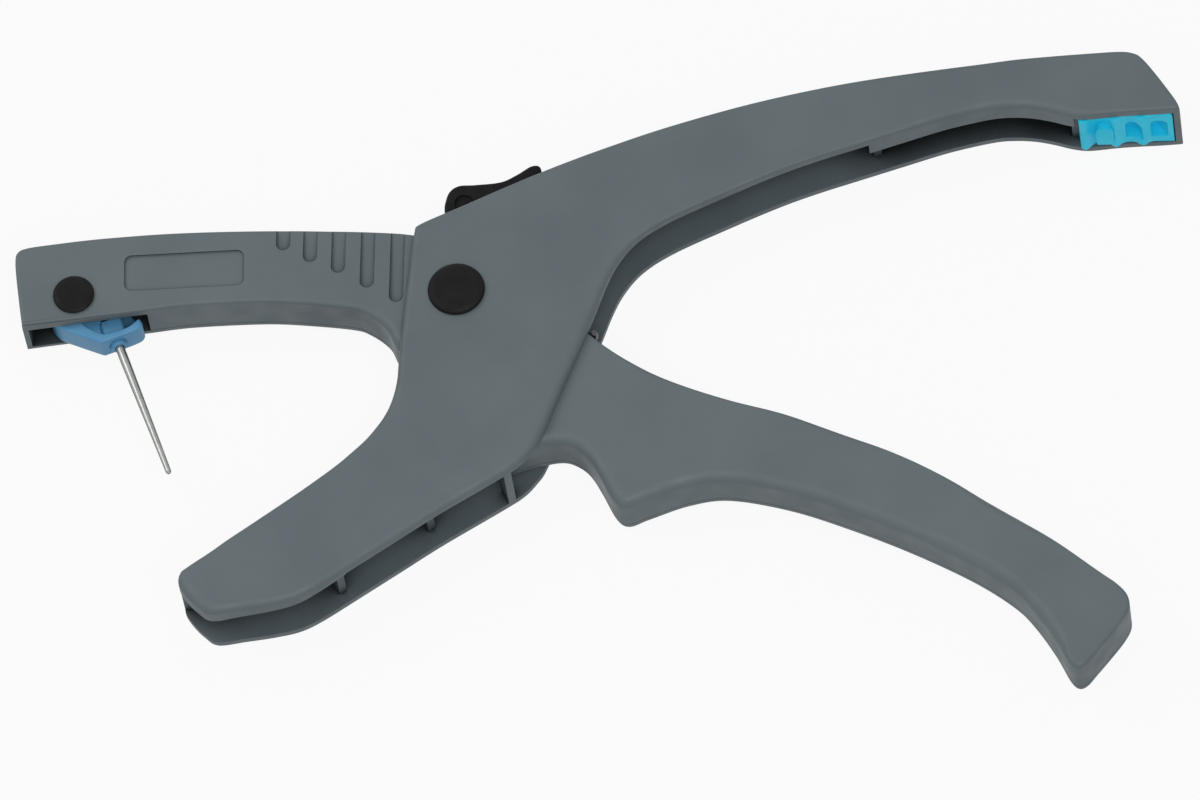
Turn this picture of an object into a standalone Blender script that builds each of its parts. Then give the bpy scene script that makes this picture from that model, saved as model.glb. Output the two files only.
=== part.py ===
"""Ear tag applicator: a one-hand plier tool of moulded plastic.

The tool lies on its far wall. +X runs along the tool towards the handle ends,
+Y towards the upper handle and +Z up through the wall that faces the viewer.
The origin is on the main pivot's axis, in the plane of the far wall.
All sizes are in metres. The plan outlines are shares of PLAN.
"""
import math

import bmesh
import bpy
from mathutils import Matrix, Vector

MM = 0.001

# Plan of the tool
PLAN = 100.0 * MM
PATH_STEPS = 3
ROUND_SEGMENTS = 2
RIM_ANGLE = math.radians(60.0)
CUT_OVERRUN = 6.0 * MM
LOOP_SHARE = 0.97

# Frame moulding: upper handle, hub walls and lower jaw
FRAME_WALL = 2.5 * MM
FRAME_WEB = 2.5 * MM
FRAME_ROUND = 2.0 * MM
FRAME_RIB = 2.0 * MM
FRAME_RIM = 4.5 * MM
FRAME_END_WEB = 1.6 * MM
NEEDLE_SLOT = 6.4 * MM
NEEDLE_SLOT_DEPTH = 12.0 * MM
LATCH_GAP = 0.4 * MM

# Lever moulding: upper jaw, hub and lower handle
SIDE_CLEARANCE = 0.4 * MM
LEVER_WALL = 2.4 * MM
LEVER_WEB = 2.4 * MM
LEVER_ROUND = 1.4 * MM
LEVER_RIB = 1.8 * MM
HUB_CLEARANCE = 0.4 * MM
TOOTH_WIDTH = 2.4 * MM
TOOTH_HEIGHT = 3.4 * MM
GROOVE_WIDTH = 3.4 * MM
GROOVE_DEPTH = 0.8 * MM
GROOVE_STEPS = 6
HUB_STEPS = 16

# Main pivot
FIT_GAP = 0.15 * MM
SHAFT_RADIUS = 4.0 * MM
SHAFT_HEAD_RADIUS = 6.9 * MM
SHAFT_HEAD = 1.2 * MM
SHAFT_SOCKET_RADIUS = 1.9 * MM
SHAFT_SOCKET_DEPTH = 4.0 * MM
CAP_RADIUS = 6.9 * MM
CAP_HEIGHT = 1.5 * MM
CAP_SHARES = ((0.500, 0.889), (0.855, 0.667), (0.964, 0.333))
RING_RADIUS = 5.9 * MM
RING_THICK = 0.8 * MM
RING_GROOVE = 0.7 * MM
RING_OPENING = 3.0 * MM
BUSH_WALL = 1.2 * MM
WASHER_RADIUS = 7.6 * MM
WASHER_THICK = 0.8 * MM
BOSS_RADIUS = 7.1 * MM
BOSS_GAP = 1.2 * MM

# Return spring
SPRING_WIRE = 1.5 * MM
SPRING_TURNS = 3
SPRING_RADIUS = 8.5 * MM
SPRING_TIP_GAP = 0.6 * MM
SPRING_STEPS = 16

# Needle carrier and its pin
CARRIER_SIDE_GAP = 0.5 * MM
CARRIER_CHEEK = 1.5 * MM
CARRIER_ROUND = 0.7 * MM
CARRIER_WALL = 1.3 * MM
CARRIER_PIN_RADIUS = 2.4 * MM
PIN_SOCKET_RADIUS = 1.3 * MM
PIN_SOCKET_DEPTH = 3.0 * MM
PIN_CAP_RADIUS = 5.0 * MM
PIN_CAP_HEIGHT = 1.0 * MM
PIN_CAP_SHARES = ((0.86, 1.0), (0.96, 0.75), (1.0, 0.3))
PIN_CLIP_SHARES = ((1.0, 0.6), (0.9, 1.0))
PIN_CLIP_RADIUS = 4.2 * MM
CARRIER_WASHER_RADIUS = 4.6 * MM
CARRIER_WASHER_RECESS = 0.5 * MM
CARRIER_WASHER_THICK = 0.5 * MM
CARRIER_SPRING_WIRE = 0.7 * MM
CARRIER_SPRING_RADIUS = 3.4 * MM
CARRIER_SPRING_PITCH = 0.95 * MM
CARRIER_SPRING_TURNS = 3
CARRIER_SPRING_ROOM = 0.425 * MM

# Needle
NEEDLE_LENGTH = 37.6 * MM
NEEDLE_SHANK = 7.0 * MM
NEEDLE_RADIUS = 1.1 * MM
NEEDLE_TIP_RADIUS = 0.68 * MM
NEEDLE_POINT = 0.9 * MM
NEEDLE_FLAT_SHARE = 0.7
COLLAR_RADIUS = 2.1 * MM
COLLAR_LENGTH = 6.0 * MM
COLLAR_STANDOUT = 0.9 * MM
SLEEVE_WALL = 0.9 * MM

# Latch
LATCH_THICK = 5.6 * MM
LATCH_ROUND = 0.7 * MM
LATCH_PIN_RADIUS = 1.5 * MM
LATCH_SOCKET_DEPTH = 1.3 * MM
LATCH_RECESS_RADIUS = 2.3 * MM
LATCH_RECESS_DEPTH = 0.8 * MM

# Handle insert
INSERT_GAP = 0.3 * MM
POCKET_DEPTH = 3.6 * MM
POCKET_LENGTH = 7.8 * MM
POCKET_STEPS = 8

# Places in plan, in shares of PLAN
JAW_PIN_SHARES = (-0.930, 0.024)
NEEDLE_ROOT_SHARES = (-0.825, -0.079)
NEEDLE_AIM_SHARES = (0.360, -0.933)
SPRING_FRAME_REST_SHARE = 0.400
SPRING_LEVER_REST_SHARES = (0.332, -0.108)
CARRIER_SPRING_REST_SHARES = (-0.800, 0.115)
LATCH_PIN_SHARES = (0.095, 0.215)
HUB_EDGE_SHARES = (-0.070, 0.200)
HUB_EDGE_END_SHARES = (0.216, 0.328)
TOOTH_DEGREES = 84.0
HUB_START_DEGREES = 116.0
HUB_END_DEGREES = 20.0

# The frame's outline, clockwise from the corner above the hub
FRAME_TOP_SHARES = (
    (-0.106, 0.180, "corner"), (-0.070, 0.200), (0.060, 0.258), (0.216, 0.328), (0.360, 0.386),
    (0.500, 0.436), (0.697, 0.493), (0.889, 0.536), (1.081, 0.569), (1.273, 0.593),
    (1.466, 0.608), (1.580, 0.614), (1.622, 0.609), (1.645, 0.593), (1.681, 0.545),
    (1.726, 0.476), (1.735, 0.452, "corner"),
)
FRAME_UNDER_SHARES = (
    (1.680, 0.449), (1.620, 0.447), (1.570, 0.444), (1.530, 0.440), (1.500, 0.439), (1.465, 0.445),
    (1.425, 0.457), (1.380, 0.467), (1.330, 0.471), (1.276, 0.467), (1.172, 0.443), (1.060, 0.407),
    (0.960, 0.374), (0.869, 0.344), (0.790, 0.315), (0.713, 0.282), (0.625, 0.241), (0.545, 0.203),
    (0.495, 0.176), (0.450, 0.146), (0.413, 0.110), (0.382, 0.063), (0.360, 0.013),
    (0.342, -0.040), (0.317, -0.111), (0.256, -0.275), (0.212, -0.395), (0.190, -0.433),
    (0.160, -0.468), (0.112, -0.502), (-0.032, -0.594), (-0.127, -0.660),
    (-0.222, -0.726), (-0.317, -0.791), (-0.370, -0.818), (-0.430, -0.832), (-0.500, -0.842),
    (-0.566, -0.850),
)
FRAME_FACE_SHARES = (
    (-0.600, -0.828), (-0.628, -0.798), (-0.646, -0.768), (-0.643, -0.742), (-0.620, -0.720),
    (-0.484, -0.622), (-0.390, -0.552), (-0.295, -0.478), (-0.247, -0.435), (-0.199, -0.384),
    (-0.160, -0.318), (-0.140, -0.245), (-0.135, -0.155), (-0.124, 0.000), (-0.113, 0.120),
)
FRAME_WEB_START_SHARE = -0.085
FRAME_END_SHARE = 1.600
FRAME_RIM_SHARES = ((1.232, 0.500, 0.494, 0.400, 0.0), (-0.405, -0.854, 1.000, 1.000, 36.0))
FRAME_THROAT_SHARE = -0.215
JAW_WEB_TIP_SHARE = -0.800

# The lever's outline, clockwise from the lower corner of the jaw's end
LEVER_TOP_SHARES = (
    (-1.053, -0.058, "corner"), (-1.067, 0.035), (-1.077, 0.118), (-1.072, 0.147), (-1.046, 0.159),
    (-0.980, 0.168), (-0.920, 0.175), (-0.841, 0.182), (-0.697, 0.190), (-0.504, 0.191), (-0.311, 0.186),
    (-0.166, 0.177), (-0.111, 0.170, "corner"),
)
LEVER_HANDLE_SHARES = (
    (0.236, -0.030), (0.346, -0.134), (0.436, -0.197), (0.542, -0.252), (0.663, -0.298),
    (0.809, -0.342), (0.955, -0.402), (1.101, -0.471), (1.247, -0.558), (1.394, -0.654),
    (1.541, -0.771), (1.586, -0.806), (1.611, -0.835), (1.617, -0.868), (1.602, -0.903),
)
LEVER_UNDER_SHARES = (
    (1.570, -0.948), (1.535, -0.993), (1.514, -1.019), (1.494, -1.027), (1.473, -1.008),
    (1.438, -0.941), (1.388, -0.864),
    (1.338, -0.809), (1.240, -0.739), (1.094, -0.660), (0.948, -0.594), (0.802, -0.539),
    (0.657, -0.508), (0.561, -0.519), (0.466, -0.553), (0.416, -0.572), (0.385, -0.552),
    (0.350, -0.485), (0.320, -0.435), (0.288, -0.408), (0.253, -0.397), (0.200, -0.405),
    (0.095, -0.430), (0.020, -0.380), (-0.050, -0.270), (-0.090, -0.190), (-0.145, -0.130),
    (-0.172, -0.079), (-0.220, -0.040), (-0.269, -0.023), (-0.414, -0.006), (-0.510, -0.003),
    (-0.655, -0.008), (-0.751, -0.019, "corner"),
)
WINDOW_SHARES = (-1.040, -0.753)
GROOVE_SHARES = (
    (-0.427, 0.152), (-0.361, 0.118), (-0.292, 0.087), (-0.221, 0.045), (-0.149, 0.004),
)
GROOVE_TOP_SHARE = 0.230

# Ribs: the rib's middle, its length and the way it runs
FRAME_RIB_SHARES = (
    (-0.335, -0.623, 0.240, 124.0),
    (-0.125, -0.470, 0.225, 126.0),
    (0.125, -0.475, 0.050, 118.0),
    (0.975, 0.505, 0.160, 107.0),
    (1.479, 0.560, 0.180, 90.0),
)
LEVER_RIB_SHARES = (
    (-0.785, 0.150, 0.110, 90.0),
    (-0.600, 0.090, 0.260, 90.0),
    (-0.380, 0.090, 0.260, 90.0),
    (0.560, -0.400, 0.260, 75.0),
    (0.900, -0.480, 0.260, 66.0),
    (1.220, -0.640, 0.260, 60.0),
)

# Outlines of the small pieces
CARRIER_SHARES = (
    (-0.990, 0.050), (-0.992, -0.010), (-0.972, -0.044), (-0.925, -0.066), (-0.862, -0.091, "corner"),
    (-0.792, -0.064), (-0.768, -0.048), (-0.774, -0.024), (-0.835, 0.045), (-0.885, 0.078),
    (-0.950, 0.080),
)
CARRIER_HOLLOW_SHARES = (
    (-0.878, 0.120), (-0.868, 0.000), (-0.868, -0.052), (-0.840, -0.064), (-0.800, -0.048),
    (-0.785, -0.036), (-0.740, 0.010), (-0.740, 0.120),
)
CARRIER_SCOOP_SHARES = (
    (-0.900, 0.120), (-0.905, 0.010), (-0.910, -0.036), (-0.888, -0.056), (-0.862, -0.068),
    (-0.835, -0.064), (-0.805, -0.053), (-0.782, -0.036), (-0.750, 0.010), (-0.750, 0.120),
)
CARRIER_FORK_SHARES = (-0.940, 0.060, 0.170, 0.190)
LATCH_SHARES = (
    (-0.047, 0.205), (-0.043, 0.246), (-0.043, 0.272), (-0.033, 0.306), (-0.010, 0.323),
    (0.030, 0.325), (0.091, 0.331), (0.130, 0.350), (0.163, 0.372), (0.184, 0.372),
    (0.188, 0.352), (0.160, 0.325), (0.135, 0.270), (0.132, 0.205), (0.105, 0.180),
    (0.070, 0.185), (0.030, 0.218), (0.000, 0.212), (-0.025, 0.196),
)
LATCH_RECESS_SHARES = (0.004, 0.272)
LATCH_SLOT_SHARES = (-0.070, 0.212)
INSERT_SHARES = (
    (1.490, 0.455, "corner"), (1.490, 0.568, "corner"), (1.600, 0.580, "corner"),
    (1.637, 0.568, "corner"), (1.716, 0.449, "corner"), (1.685, 0.449), (1.664, 0.449),
    (1.653, 0.445), (1.640, 0.438), (1.627, 0.445), (1.616, 0.449), (1.601, 0.449),
    (1.590, 0.445), (1.575, 0.435), (1.559, 0.444), (1.547, 0.449), (1.529, 0.449),
    (1.517, 0.441), (1.502, 0.429), (1.490, 0.437),
)
POCKET_SHARES = ((1.551, 0.043, 0.0), (1.618, 0.037, 15.0), (1.678, 0.035, 32.0))

# Colours of the real pieces
GREY = (0.120, 0.145, 0.155, 1.0)
GREY_LIGHT = (0.135, 0.160, 0.170, 1.0)
BLACK = (0.012, 0.013, 0.014, 1.0)
BLUE_STEEL = (0.150, 0.270, 0.400, 1.0)
STEEL = (0.550, 0.560, 0.570, 1.0)
BRONZE = (0.500, 0.330, 0.150, 1.0)
CYAN = (0.050, 0.480, 0.680, 1.0)

ROUND_SIDES = 32
SMALL_SIDES = 20

# Sizes that follow from the ones above, from the carrier's spring outwards
CARRIER_SPRING_PACK = CARRIER_SPRING_TURNS * CARRIER_SPRING_PITCH + CARRIER_SPRING_WIRE
CARRIER_FORK = CARRIER_SPRING_PACK + 2 * CARRIER_SPRING_ROOM
CARRIER_THICK = CARRIER_FORK + 2 * CARRIER_CHEEK
LEVER_THICK = CARRIER_THICK + 2 * CARRIER_SIDE_GAP + 2 * LEVER_WALL
FRAME_THICK = LEVER_THICK + 2 * SIDE_CLEARANCE + 2 * FRAME_WALL
MIDDLE = FRAME_THICK / 2
INNER_LOW = FRAME_WALL
INNER_HIGH = FRAME_THICK - FRAME_WALL
LEVER_LOW = INNER_LOW + SIDE_CLEARANCE
LEVER_HIGH = INNER_HIGH - SIDE_CLEARANCE
LEVER_INNER_LOW = LEVER_LOW + LEVER_WALL
LEVER_INNER_HIGH = LEVER_HIGH - LEVER_WALL
BUSH_BORE = SHAFT_RADIUS + FIT_GAP
BUSH_RADIUS = BUSH_BORE + BUSH_WALL
HUB_BORE = BUSH_RADIUS + FIT_GAP
WASHER_RECESS = WASHER_THICK + 2 * FIT_GAP - SIDE_CLEARANCE

PARTS = "ear_tag_applicator"
CUTTERS = "cutters"


def remove_everything():
    for item in list(bpy.data.objects):
        bpy.data.objects.remove(item, do_unlink=True)


def new_collection(name):
    collection = bpy.data.collections.new(name)
    bpy.context.scene.collection.children.link(collection)


def make_material(name, colour, roughness, metallic):
    material = bpy.data.materials.new(name)
    material.use_nodes = True
    shader = material.node_tree.nodes["Principled BSDF"]
    shader.inputs["Base Color"].default_value = colour
    shader.inputs["Roughness"].default_value = roughness
    shader.inputs["Metallic"].default_value = metallic
    material.diffuse_color = colour
    return material


def move_to(item, name):
    for owner in list(item.users_collection):
        owner.objects.unlink(item)
    bpy.data.collections[name].objects.link(item)


def make_part(item, name, material):
    """Name the solid, give it its material and put it with the parts."""
    item.name = name
    item.data.materials.clear()
    item.data.materials.append(material)
    move_to(item, PARTS)
    return item


def make_cutter(item, name):
    """Keep a helper shape out of the model."""
    item.name = name
    item.hide_render = True
    item.display_type = "WIRE"
    move_to(item, CUTTERS)
    return item


def cut(target, *helpers, careful=False):
    for helper in helpers:
        modifier = target.modifiers.new("cut " + helper.name, "BOOLEAN")
        modifier.operation = "DIFFERENCE"
        modifier.solver = "EXACT"
        modifier.object = helper
        modifier.use_self = careful


def shade_round(item, degrees=35.0):
    item.data.shade_smooth()
    item.data.set_sharp_from_angle(angle=math.radians(degrees))


def place(shares):
    """A place in plan, from its shares."""
    return Vector((shares[0] * PLAN, shares[1] * PLAN))


def curve_point(before, start, end, after, t):
    """One point of the smooth curve from start to end."""
    return 0.5 * (
        2 * start + (end - before) * t
        + (2 * before - 5 * start + 4 * end - after) * t ** 2
        + (3 * start - before - 3 * end + after) * t ** 3
    )


def smooth_path(shares, closed=True, steps=PATH_STEPS):
    """A smooth line through the points, which breaks at each corner."""
    points = [place(entry) for entry in shares]
    corner = [len(entry) > 2 for entry in shares]
    count = len(points)
    path = []
    for i in range(count if closed else count - 1):
        j = (i + 1) % count
        first = not closed and i == 0
        last = not closed and j == count - 1
        before = points[i] if corner[i] or first else points[i - 1]
        after = points[j] if corner[j] or last else points[(j + 1) % count]
        for step in range(steps):
            path.append(curve_point(before, points[i], points[j], after, step / steps))
    if not closed:
        path.append(points[-1])
    return path


def arc(centre, radius, start, end, steps):
    """Points of an arc, from one angle in degrees to another."""
    points = []
    for i in range(steps + 1):
        angle = math.radians(start + (end - start) * i / steps)
        points.append(centre + radius * Vector((math.cos(angle), math.sin(angle))))
    return points


def gap_to_path(point, path):
    """The shortest way from a point to an open path."""
    nearest = []
    for start, end in zip(path, path[1:]):
        along = end - start
        share = max(0.0, min(1.0, (point - start).dot(along) / along.length_squared))
        nearest.append((point - start - share * along).length)
    return min(nearest)


def shifted(path, distance):
    """The open path moved to its right by the distance, without the loops at tight bends."""
    result = []
    for i, point in enumerate(path):
        ahead = path[min(i + 1, len(path) - 1)]
        behind = path[max(i - 1, 0)]
        along = (ahead - behind).normalized()
        moved = point + distance * Vector((along.y, -along.x))
        if gap_to_path(moved, path) > LOOP_SHARE * distance:
            result.append(moved)
    return result


def plate(name, path, low, high, edge=0.0):
    """A flat outline between two heights, with rounded edges if asked."""
    count = len(path)
    shape = bmesh.new()
    bottom = [shape.verts.new((point.x, point.y, low)) for point in path]
    top = [shape.verts.new((point.x, point.y, high)) for point in path]
    shape.faces.new(bottom)
    shape.faces.new(top)
    for i in range(count):
        j = (i + 1) % count
        shape.faces.new((bottom[i], bottom[j], top[j], top[i]))
    bmesh.ops.recalc_face_normals(shape, faces=shape.faces)
    if edge > 0.0:
        rims = []
        for side in shape.edges:
            rise = abs(side.verts[0].co.z - side.verts[1].co.z)
            if rise < edge and side.calc_face_angle(0.0) > RIM_ANGLE:
                rims.append(side)
        bmesh.ops.bevel(shape, geom=rims, offset=edge, segments=ROUND_SEGMENTS, profile=0.5,
                        affect="EDGES", clamp_overlap=False)
    mesh = bpy.data.meshes.new(name)
    shape.to_mesh(mesh)
    shape.free()
    item = bpy.data.objects.new(name, mesh)
    bpy.context.scene.collection.objects.link(item)
    return item


def wire(name, points, diameter, material):
    """A round wire through the points."""
    curve = bpy.data.curves.new(name, "CURVE")
    curve.dimensions = "3D"
    curve.bevel_depth = diameter / 2
    curve.bevel_resolution = 1
    curve.use_fill_caps = True
    spline = curve.splines.new("POLY")
    spline.points.add(len(points) - 1)
    for target, point in zip(spline.points, points):
        target.co = (*point, 1)
    item = bpy.data.objects.new(name, curve)
    bpy.context.scene.collection.objects.link(item)
    return make_part(item, name, material)


def cylinder(name, spot, radius, low, high, sides=ROUND_SIDES):
    bpy.ops.mesh.primitive_cylinder_add(
        vertices=sides, radius=radius, depth=high - low,
        location=(spot.x, spot.y, (low + high) / 2),
    )
    item = bpy.context.object
    item.name = name
    shade_round(item)
    return item


def block(name, spot, length, width, low, high, degrees=0.0):
    """A box whose length runs at the given angle in plan."""
    bpy.ops.mesh.primitive_cube_add(size=1.0, location=(spot.x, spot.y, (low + high) / 2))
    item = bpy.context.object
    item.name = name
    item.scale = (length, width, high - low)
    item.rotation_euler = (0, 0, math.radians(degrees))
    bpy.ops.object.transform_apply(location=False, rotation=False, scale=True)
    return item


def turned(name, profile, spot, base=0.0, closed=False, sides=ROUND_SIDES):
    """A turned solid: the profile runs down its outer side, top to bottom."""
    mesh = bpy.data.meshes.new(name)
    count = len(profile)
    edges = [(i, i + 1) for i in range(count - 1)]
    if closed:
        edges.append((count - 1, 0))
    mesh.from_pydata([(radius, 0, height) for radius, height in profile], edges, [])
    item = bpy.data.objects.new(name, mesh)
    bpy.context.scene.collection.objects.link(item)
    item.location = (spot.x, spot.y, base)
    screw = item.modifiers.new("turn", "SCREW")
    screw.steps = sides
    screw.render_steps = sides
    screw.use_merge_vertices = True
    screw.merge_threshold = MM / 1000
    screw.use_smooth_shade = False
    return item


def rim(shares, radius, base, height):
    """Profile points, from shares of a radius and of a height above the base."""
    return [(radius * across, base + height * up) for across, up in shares]


def ring_profile(outer, inner, low, high):
    return [(outer, high), (outer, low), (inner, low), (inner, high)]


def hub_reach():
    """The widest hub that clears the underside of the frame's top web."""
    start = place(HUB_EDGE_SHARES)
    along = (place(HUB_EDGE_END_SHARES) - start).normalized()
    height = abs(start.x * along.y - start.y * along.x)
    return height - FRAME_WEB - HUB_CLEARANCE


def frame_outline():
    return smooth_path(FRAME_TOP_SHARES + FRAME_UNDER_SHARES + FRAME_FACE_SHARES)


def frame_hollow():
    """The space between the frame's side walls, bounded by its two webs."""
    top = [p for p in smooth_path(FRAME_TOP_SHARES, closed=False)
           if p.x > FRAME_WEB_START_SHARE * PLAN]
    handle_end = [p for p in top if p.x > FRAME_END_SHARE * PLAN]
    under_web = shifted(top[:-len(handle_end)], FRAME_WEB) + shifted(handle_end, FRAME_END_WEB)
    face = [p for p in smooth_path(FRAME_FACE_SHARES, closed=False)
            if JAW_WEB_TIP_SHARE * PLAN < p.y < FRAME_THROAT_SHARE * PLAN]
    behind_face = shifted(face, FRAME_WEB)
    web_end = under_web[0]
    tip = face[0]
    throat = face[-1]
    return (
        under_web
        + [Vector((under_web[-1].x, under_web[-1].y - 4 * CUT_OVERRUN))]
        + [Vector((under_web[-1].x, tip.y - 5 * CUT_OVERRUN))]
        + [Vector((behind_face[0].x, tip.y - 5 * CUT_OVERRUN))]
        + behind_face
        + [throat + Vector((-CUT_OVERRUN, 0))]
        + [Vector((throat.x - 2 * CUT_OVERRUN, 0))]
        + [Vector((throat.x - 2 * CUT_OVERRUN, web_end.y + 2 * CUT_OVERRUN))]
        + [Vector((web_end.x, web_end.y + 2 * CUT_OVERRUN))]
    )


def cut_ribs(hollow, shares, thickness, name):
    """Leave ribs standing in a hollow."""
    for i, (x, y, length, degrees) in enumerate(shares):
        rib = block(
            f"{name} {i + 1}", place((x, y)), length * PLAN, thickness,
            -CUT_OVERRUN, FRAME_THICK + CUT_OVERRUN, degrees,
        )
        cut(hollow, make_cutter(rib, rib.name))


def build_frame(material):
    body = plate("frame_body", frame_outline(), 0.0, FRAME_THICK, FRAME_ROUND)
    make_part(body, "frame_body", material)
    hollow = plate("frame hollow", frame_hollow(), INNER_LOW, INNER_HIGH)
    make_cutter(hollow, "frame hollow")
    cut_ribs(hollow, FRAME_RIB_SHARES, FRAME_RIB, "frame rib")
    for i, (x, y, length, width, degrees) in enumerate(FRAME_RIM_SHARES):
        rim_block = block(
            f"frame rim {i + 1}", place((x, y)), length * PLAN, width * PLAN,
            FRAME_THICK - FRAME_RIM, FRAME_THICK + CUT_OVERRUN, degrees)
        cut(hollow, make_cutter(rim_block, rim_block.name))
    cut(body, hollow)

    pivot = Vector((0, 0))
    bore = cylinder("frame bore", pivot, BUSH_BORE, -CUT_OVERRUN, FRAME_THICK + CUT_OVERRUN)
    head_seat = cylinder(
        "head seat", pivot, SHAFT_HEAD_RADIUS + FIT_GAP, -CUT_OVERRUN, SHAFT_HEAD + FIT_GAP)
    ring_seat = cylinder(
        "ring seat", pivot, RING_RADIUS + FIT_GAP,
        FRAME_THICK - RING_THICK - 3 * FIT_GAP, FRAME_THICK + CUT_OVERRUN)
    latch_pin = place(LATCH_PIN_SHARES)
    latch_bore = cylinder(
        "latch bore", latch_pin, LATCH_PIN_RADIUS + FIT_GAP,
        INNER_LOW - LATCH_SOCKET_DEPTH - FIT_GAP, INNER_HIGH + LATCH_SOCKET_DEPTH + FIT_GAP,
        SMALL_SIDES)
    start, end = (share * PLAN for share in LATCH_SLOT_SHARES)
    latch_slot = block(
        "latch slot", Vector(((start + end) / 2, latch_pin.y + CUT_OVERRUN)),
        end - start, 4 * CUT_OVERRUN,
        MIDDLE - LATCH_THICK / 2 - LATCH_GAP, MIDDLE + LATCH_THICK / 2 + LATCH_GAP)
    face = [place(entry) for entry in FRAME_FACE_SHARES[3:6]]
    along = (face[2] - face[1]).normalized()
    slot_end = face[1] + along * NEEDLE_SLOT_DEPTH
    needle_slot = block(
        "needle slot", slot_end + along * NEEDLE_SLOT_DEPTH / 2, 3 * NEEDLE_SLOT_DEPTH,
        3 * CUT_OVERRUN, MIDDLE - NEEDLE_SLOT / 2, MIDDLE + NEEDLE_SLOT / 2,
        math.degrees(math.atan2(along.y, along.x)))
    for helper in (bore, head_seat, ring_seat, latch_bore, latch_slot, needle_slot):
        cut(body, make_cutter(helper, helper.name))
    shade_round(body)
    return body


def lever_outline():
    hub = arc(Vector((0, 0)), hub_reach(), HUB_START_DEGREES, HUB_END_DEGREES, HUB_STEPS)
    top = smooth_path(LEVER_TOP_SHARES, closed=False)
    handle = smooth_path(LEVER_HANDLE_SHARES + LEVER_UNDER_SHARES, closed=False)
    return top[:-1] + hub + handle


def lever_hollow():
    """The space between the lever's side walls, open along its top."""
    underside = smooth_path(LEVER_HANDLE_SHARES[-1:] + LEVER_UNDER_SHARES, closed=False)
    floor = shifted(underside, LEVER_WEB)
    left, right = (share * PLAN for share in WINDOW_SHARES)
    top = CUT_OVERRUN * 4
    return floor + [
        Vector((right, floor[-1].y - 2 * CUT_OVERRUN)),
        Vector((left, floor[-1].y - 2 * CUT_OVERRUN)),
        Vector((left, top)),
        Vector((CUT_OVERRUN * 8, top)),
        Vector((floor[0].x, floor[0].y + top)),
    ]


def build_lever(material):
    body = plate("lever_body", lever_outline(), LEVER_LOW, LEVER_HIGH, LEVER_ROUND)
    make_part(body, "lever_body", material)
    hollow = plate("lever hollow", lever_hollow(), LEVER_INNER_LOW, LEVER_INNER_HIGH)
    make_cutter(hollow, "lever hollow")
    cut_ribs(hollow, LEVER_RIB_SHARES, LEVER_RIB, "lever rib")
    tooth_spot = arc(Vector((0, 0)), hub_reach() - TOOTH_HEIGHT / 2 - LEVER_ROUND,
                     TOOTH_DEGREES, TOOTH_DEGREES, 1)[0]
    tooth = block(
        "lock tooth", tooth_spot, TOOTH_HEIGHT, TOOTH_WIDTH,
        -CUT_OVERRUN, FRAME_THICK + CUT_OVERRUN, TOOTH_DEGREES)
    cut(hollow, make_cutter(tooth, tooth.name))
    pivot = Vector((0, 0))
    for name, low, high in (
            ("far boss", LEVER_INNER_LOW - LEVER_WALL / 2, MIDDLE - BOSS_GAP / 2),
            ("near boss", MIDDLE + BOSS_GAP / 2, LEVER_INNER_HIGH + LEVER_WALL / 2)):
        boss = cylinder(name, pivot, BOSS_RADIUS, low, high)
        cut(hollow, make_cutter(boss, name))
    cut(body, hollow)

    bore = cylinder("hub bore", pivot, HUB_BORE, -CUT_OVERRUN, FRAME_THICK + CUT_OVERRUN)
    recess_far = cylinder("far washer seat", pivot, WASHER_RADIUS + FIT_GAP,
                          -CUT_OVERRUN, LEVER_LOW + WASHER_RECESS)
    recess_near = cylinder("near washer seat", pivot, WASHER_RADIUS + FIT_GAP,
                           LEVER_HIGH - WASHER_RECESS, FRAME_THICK + CUT_OVERRUN)
    pin_bore = cylinder("carrier pin bore", place(JAW_PIN_SHARES), CARRIER_PIN_RADIUS + FIT_GAP,
                        -CUT_OVERRUN, FRAME_THICK + CUT_OVERRUN, SMALL_SIDES)
    pin_washers = cylinder(
        "carrier washer seats", place(JAW_PIN_SHARES), CARRIER_WASHER_RADIUS + FIT_GAP,
        LEVER_INNER_LOW - CARRIER_WASHER_RECESS, LEVER_INNER_HIGH + CARRIER_WASHER_RECESS,
        SMALL_SIDES)
    helpers = [bore, recess_far, recess_near, pin_bore, pin_washers]
    for i, shares in enumerate(GROOVE_SHARES):
        bottom = place(shares)
        top = GROOVE_TOP_SHARE * PLAN
        outline = arc(bottom, GROOVE_WIDTH / 2, 180.0, 360.0, GROOVE_STEPS)
        outline += [Vector((bottom.x + GROOVE_WIDTH / 2, top)),
                    Vector((bottom.x - GROOVE_WIDTH / 2, top))]
        helpers.append(plate(f"near groove {i + 1}", outline,
                             LEVER_HIGH - GROOVE_DEPTH, LEVER_HIGH + CUT_OVERRUN))
        helpers.append(plate(f"far groove {i + 1}", outline,
                             LEVER_LOW - CUT_OVERRUN, LEVER_LOW + GROOVE_DEPTH))
    for helper in helpers:
        cut(body, make_cutter(helper, helper.name))
    shade_round(body)
    return body


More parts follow.
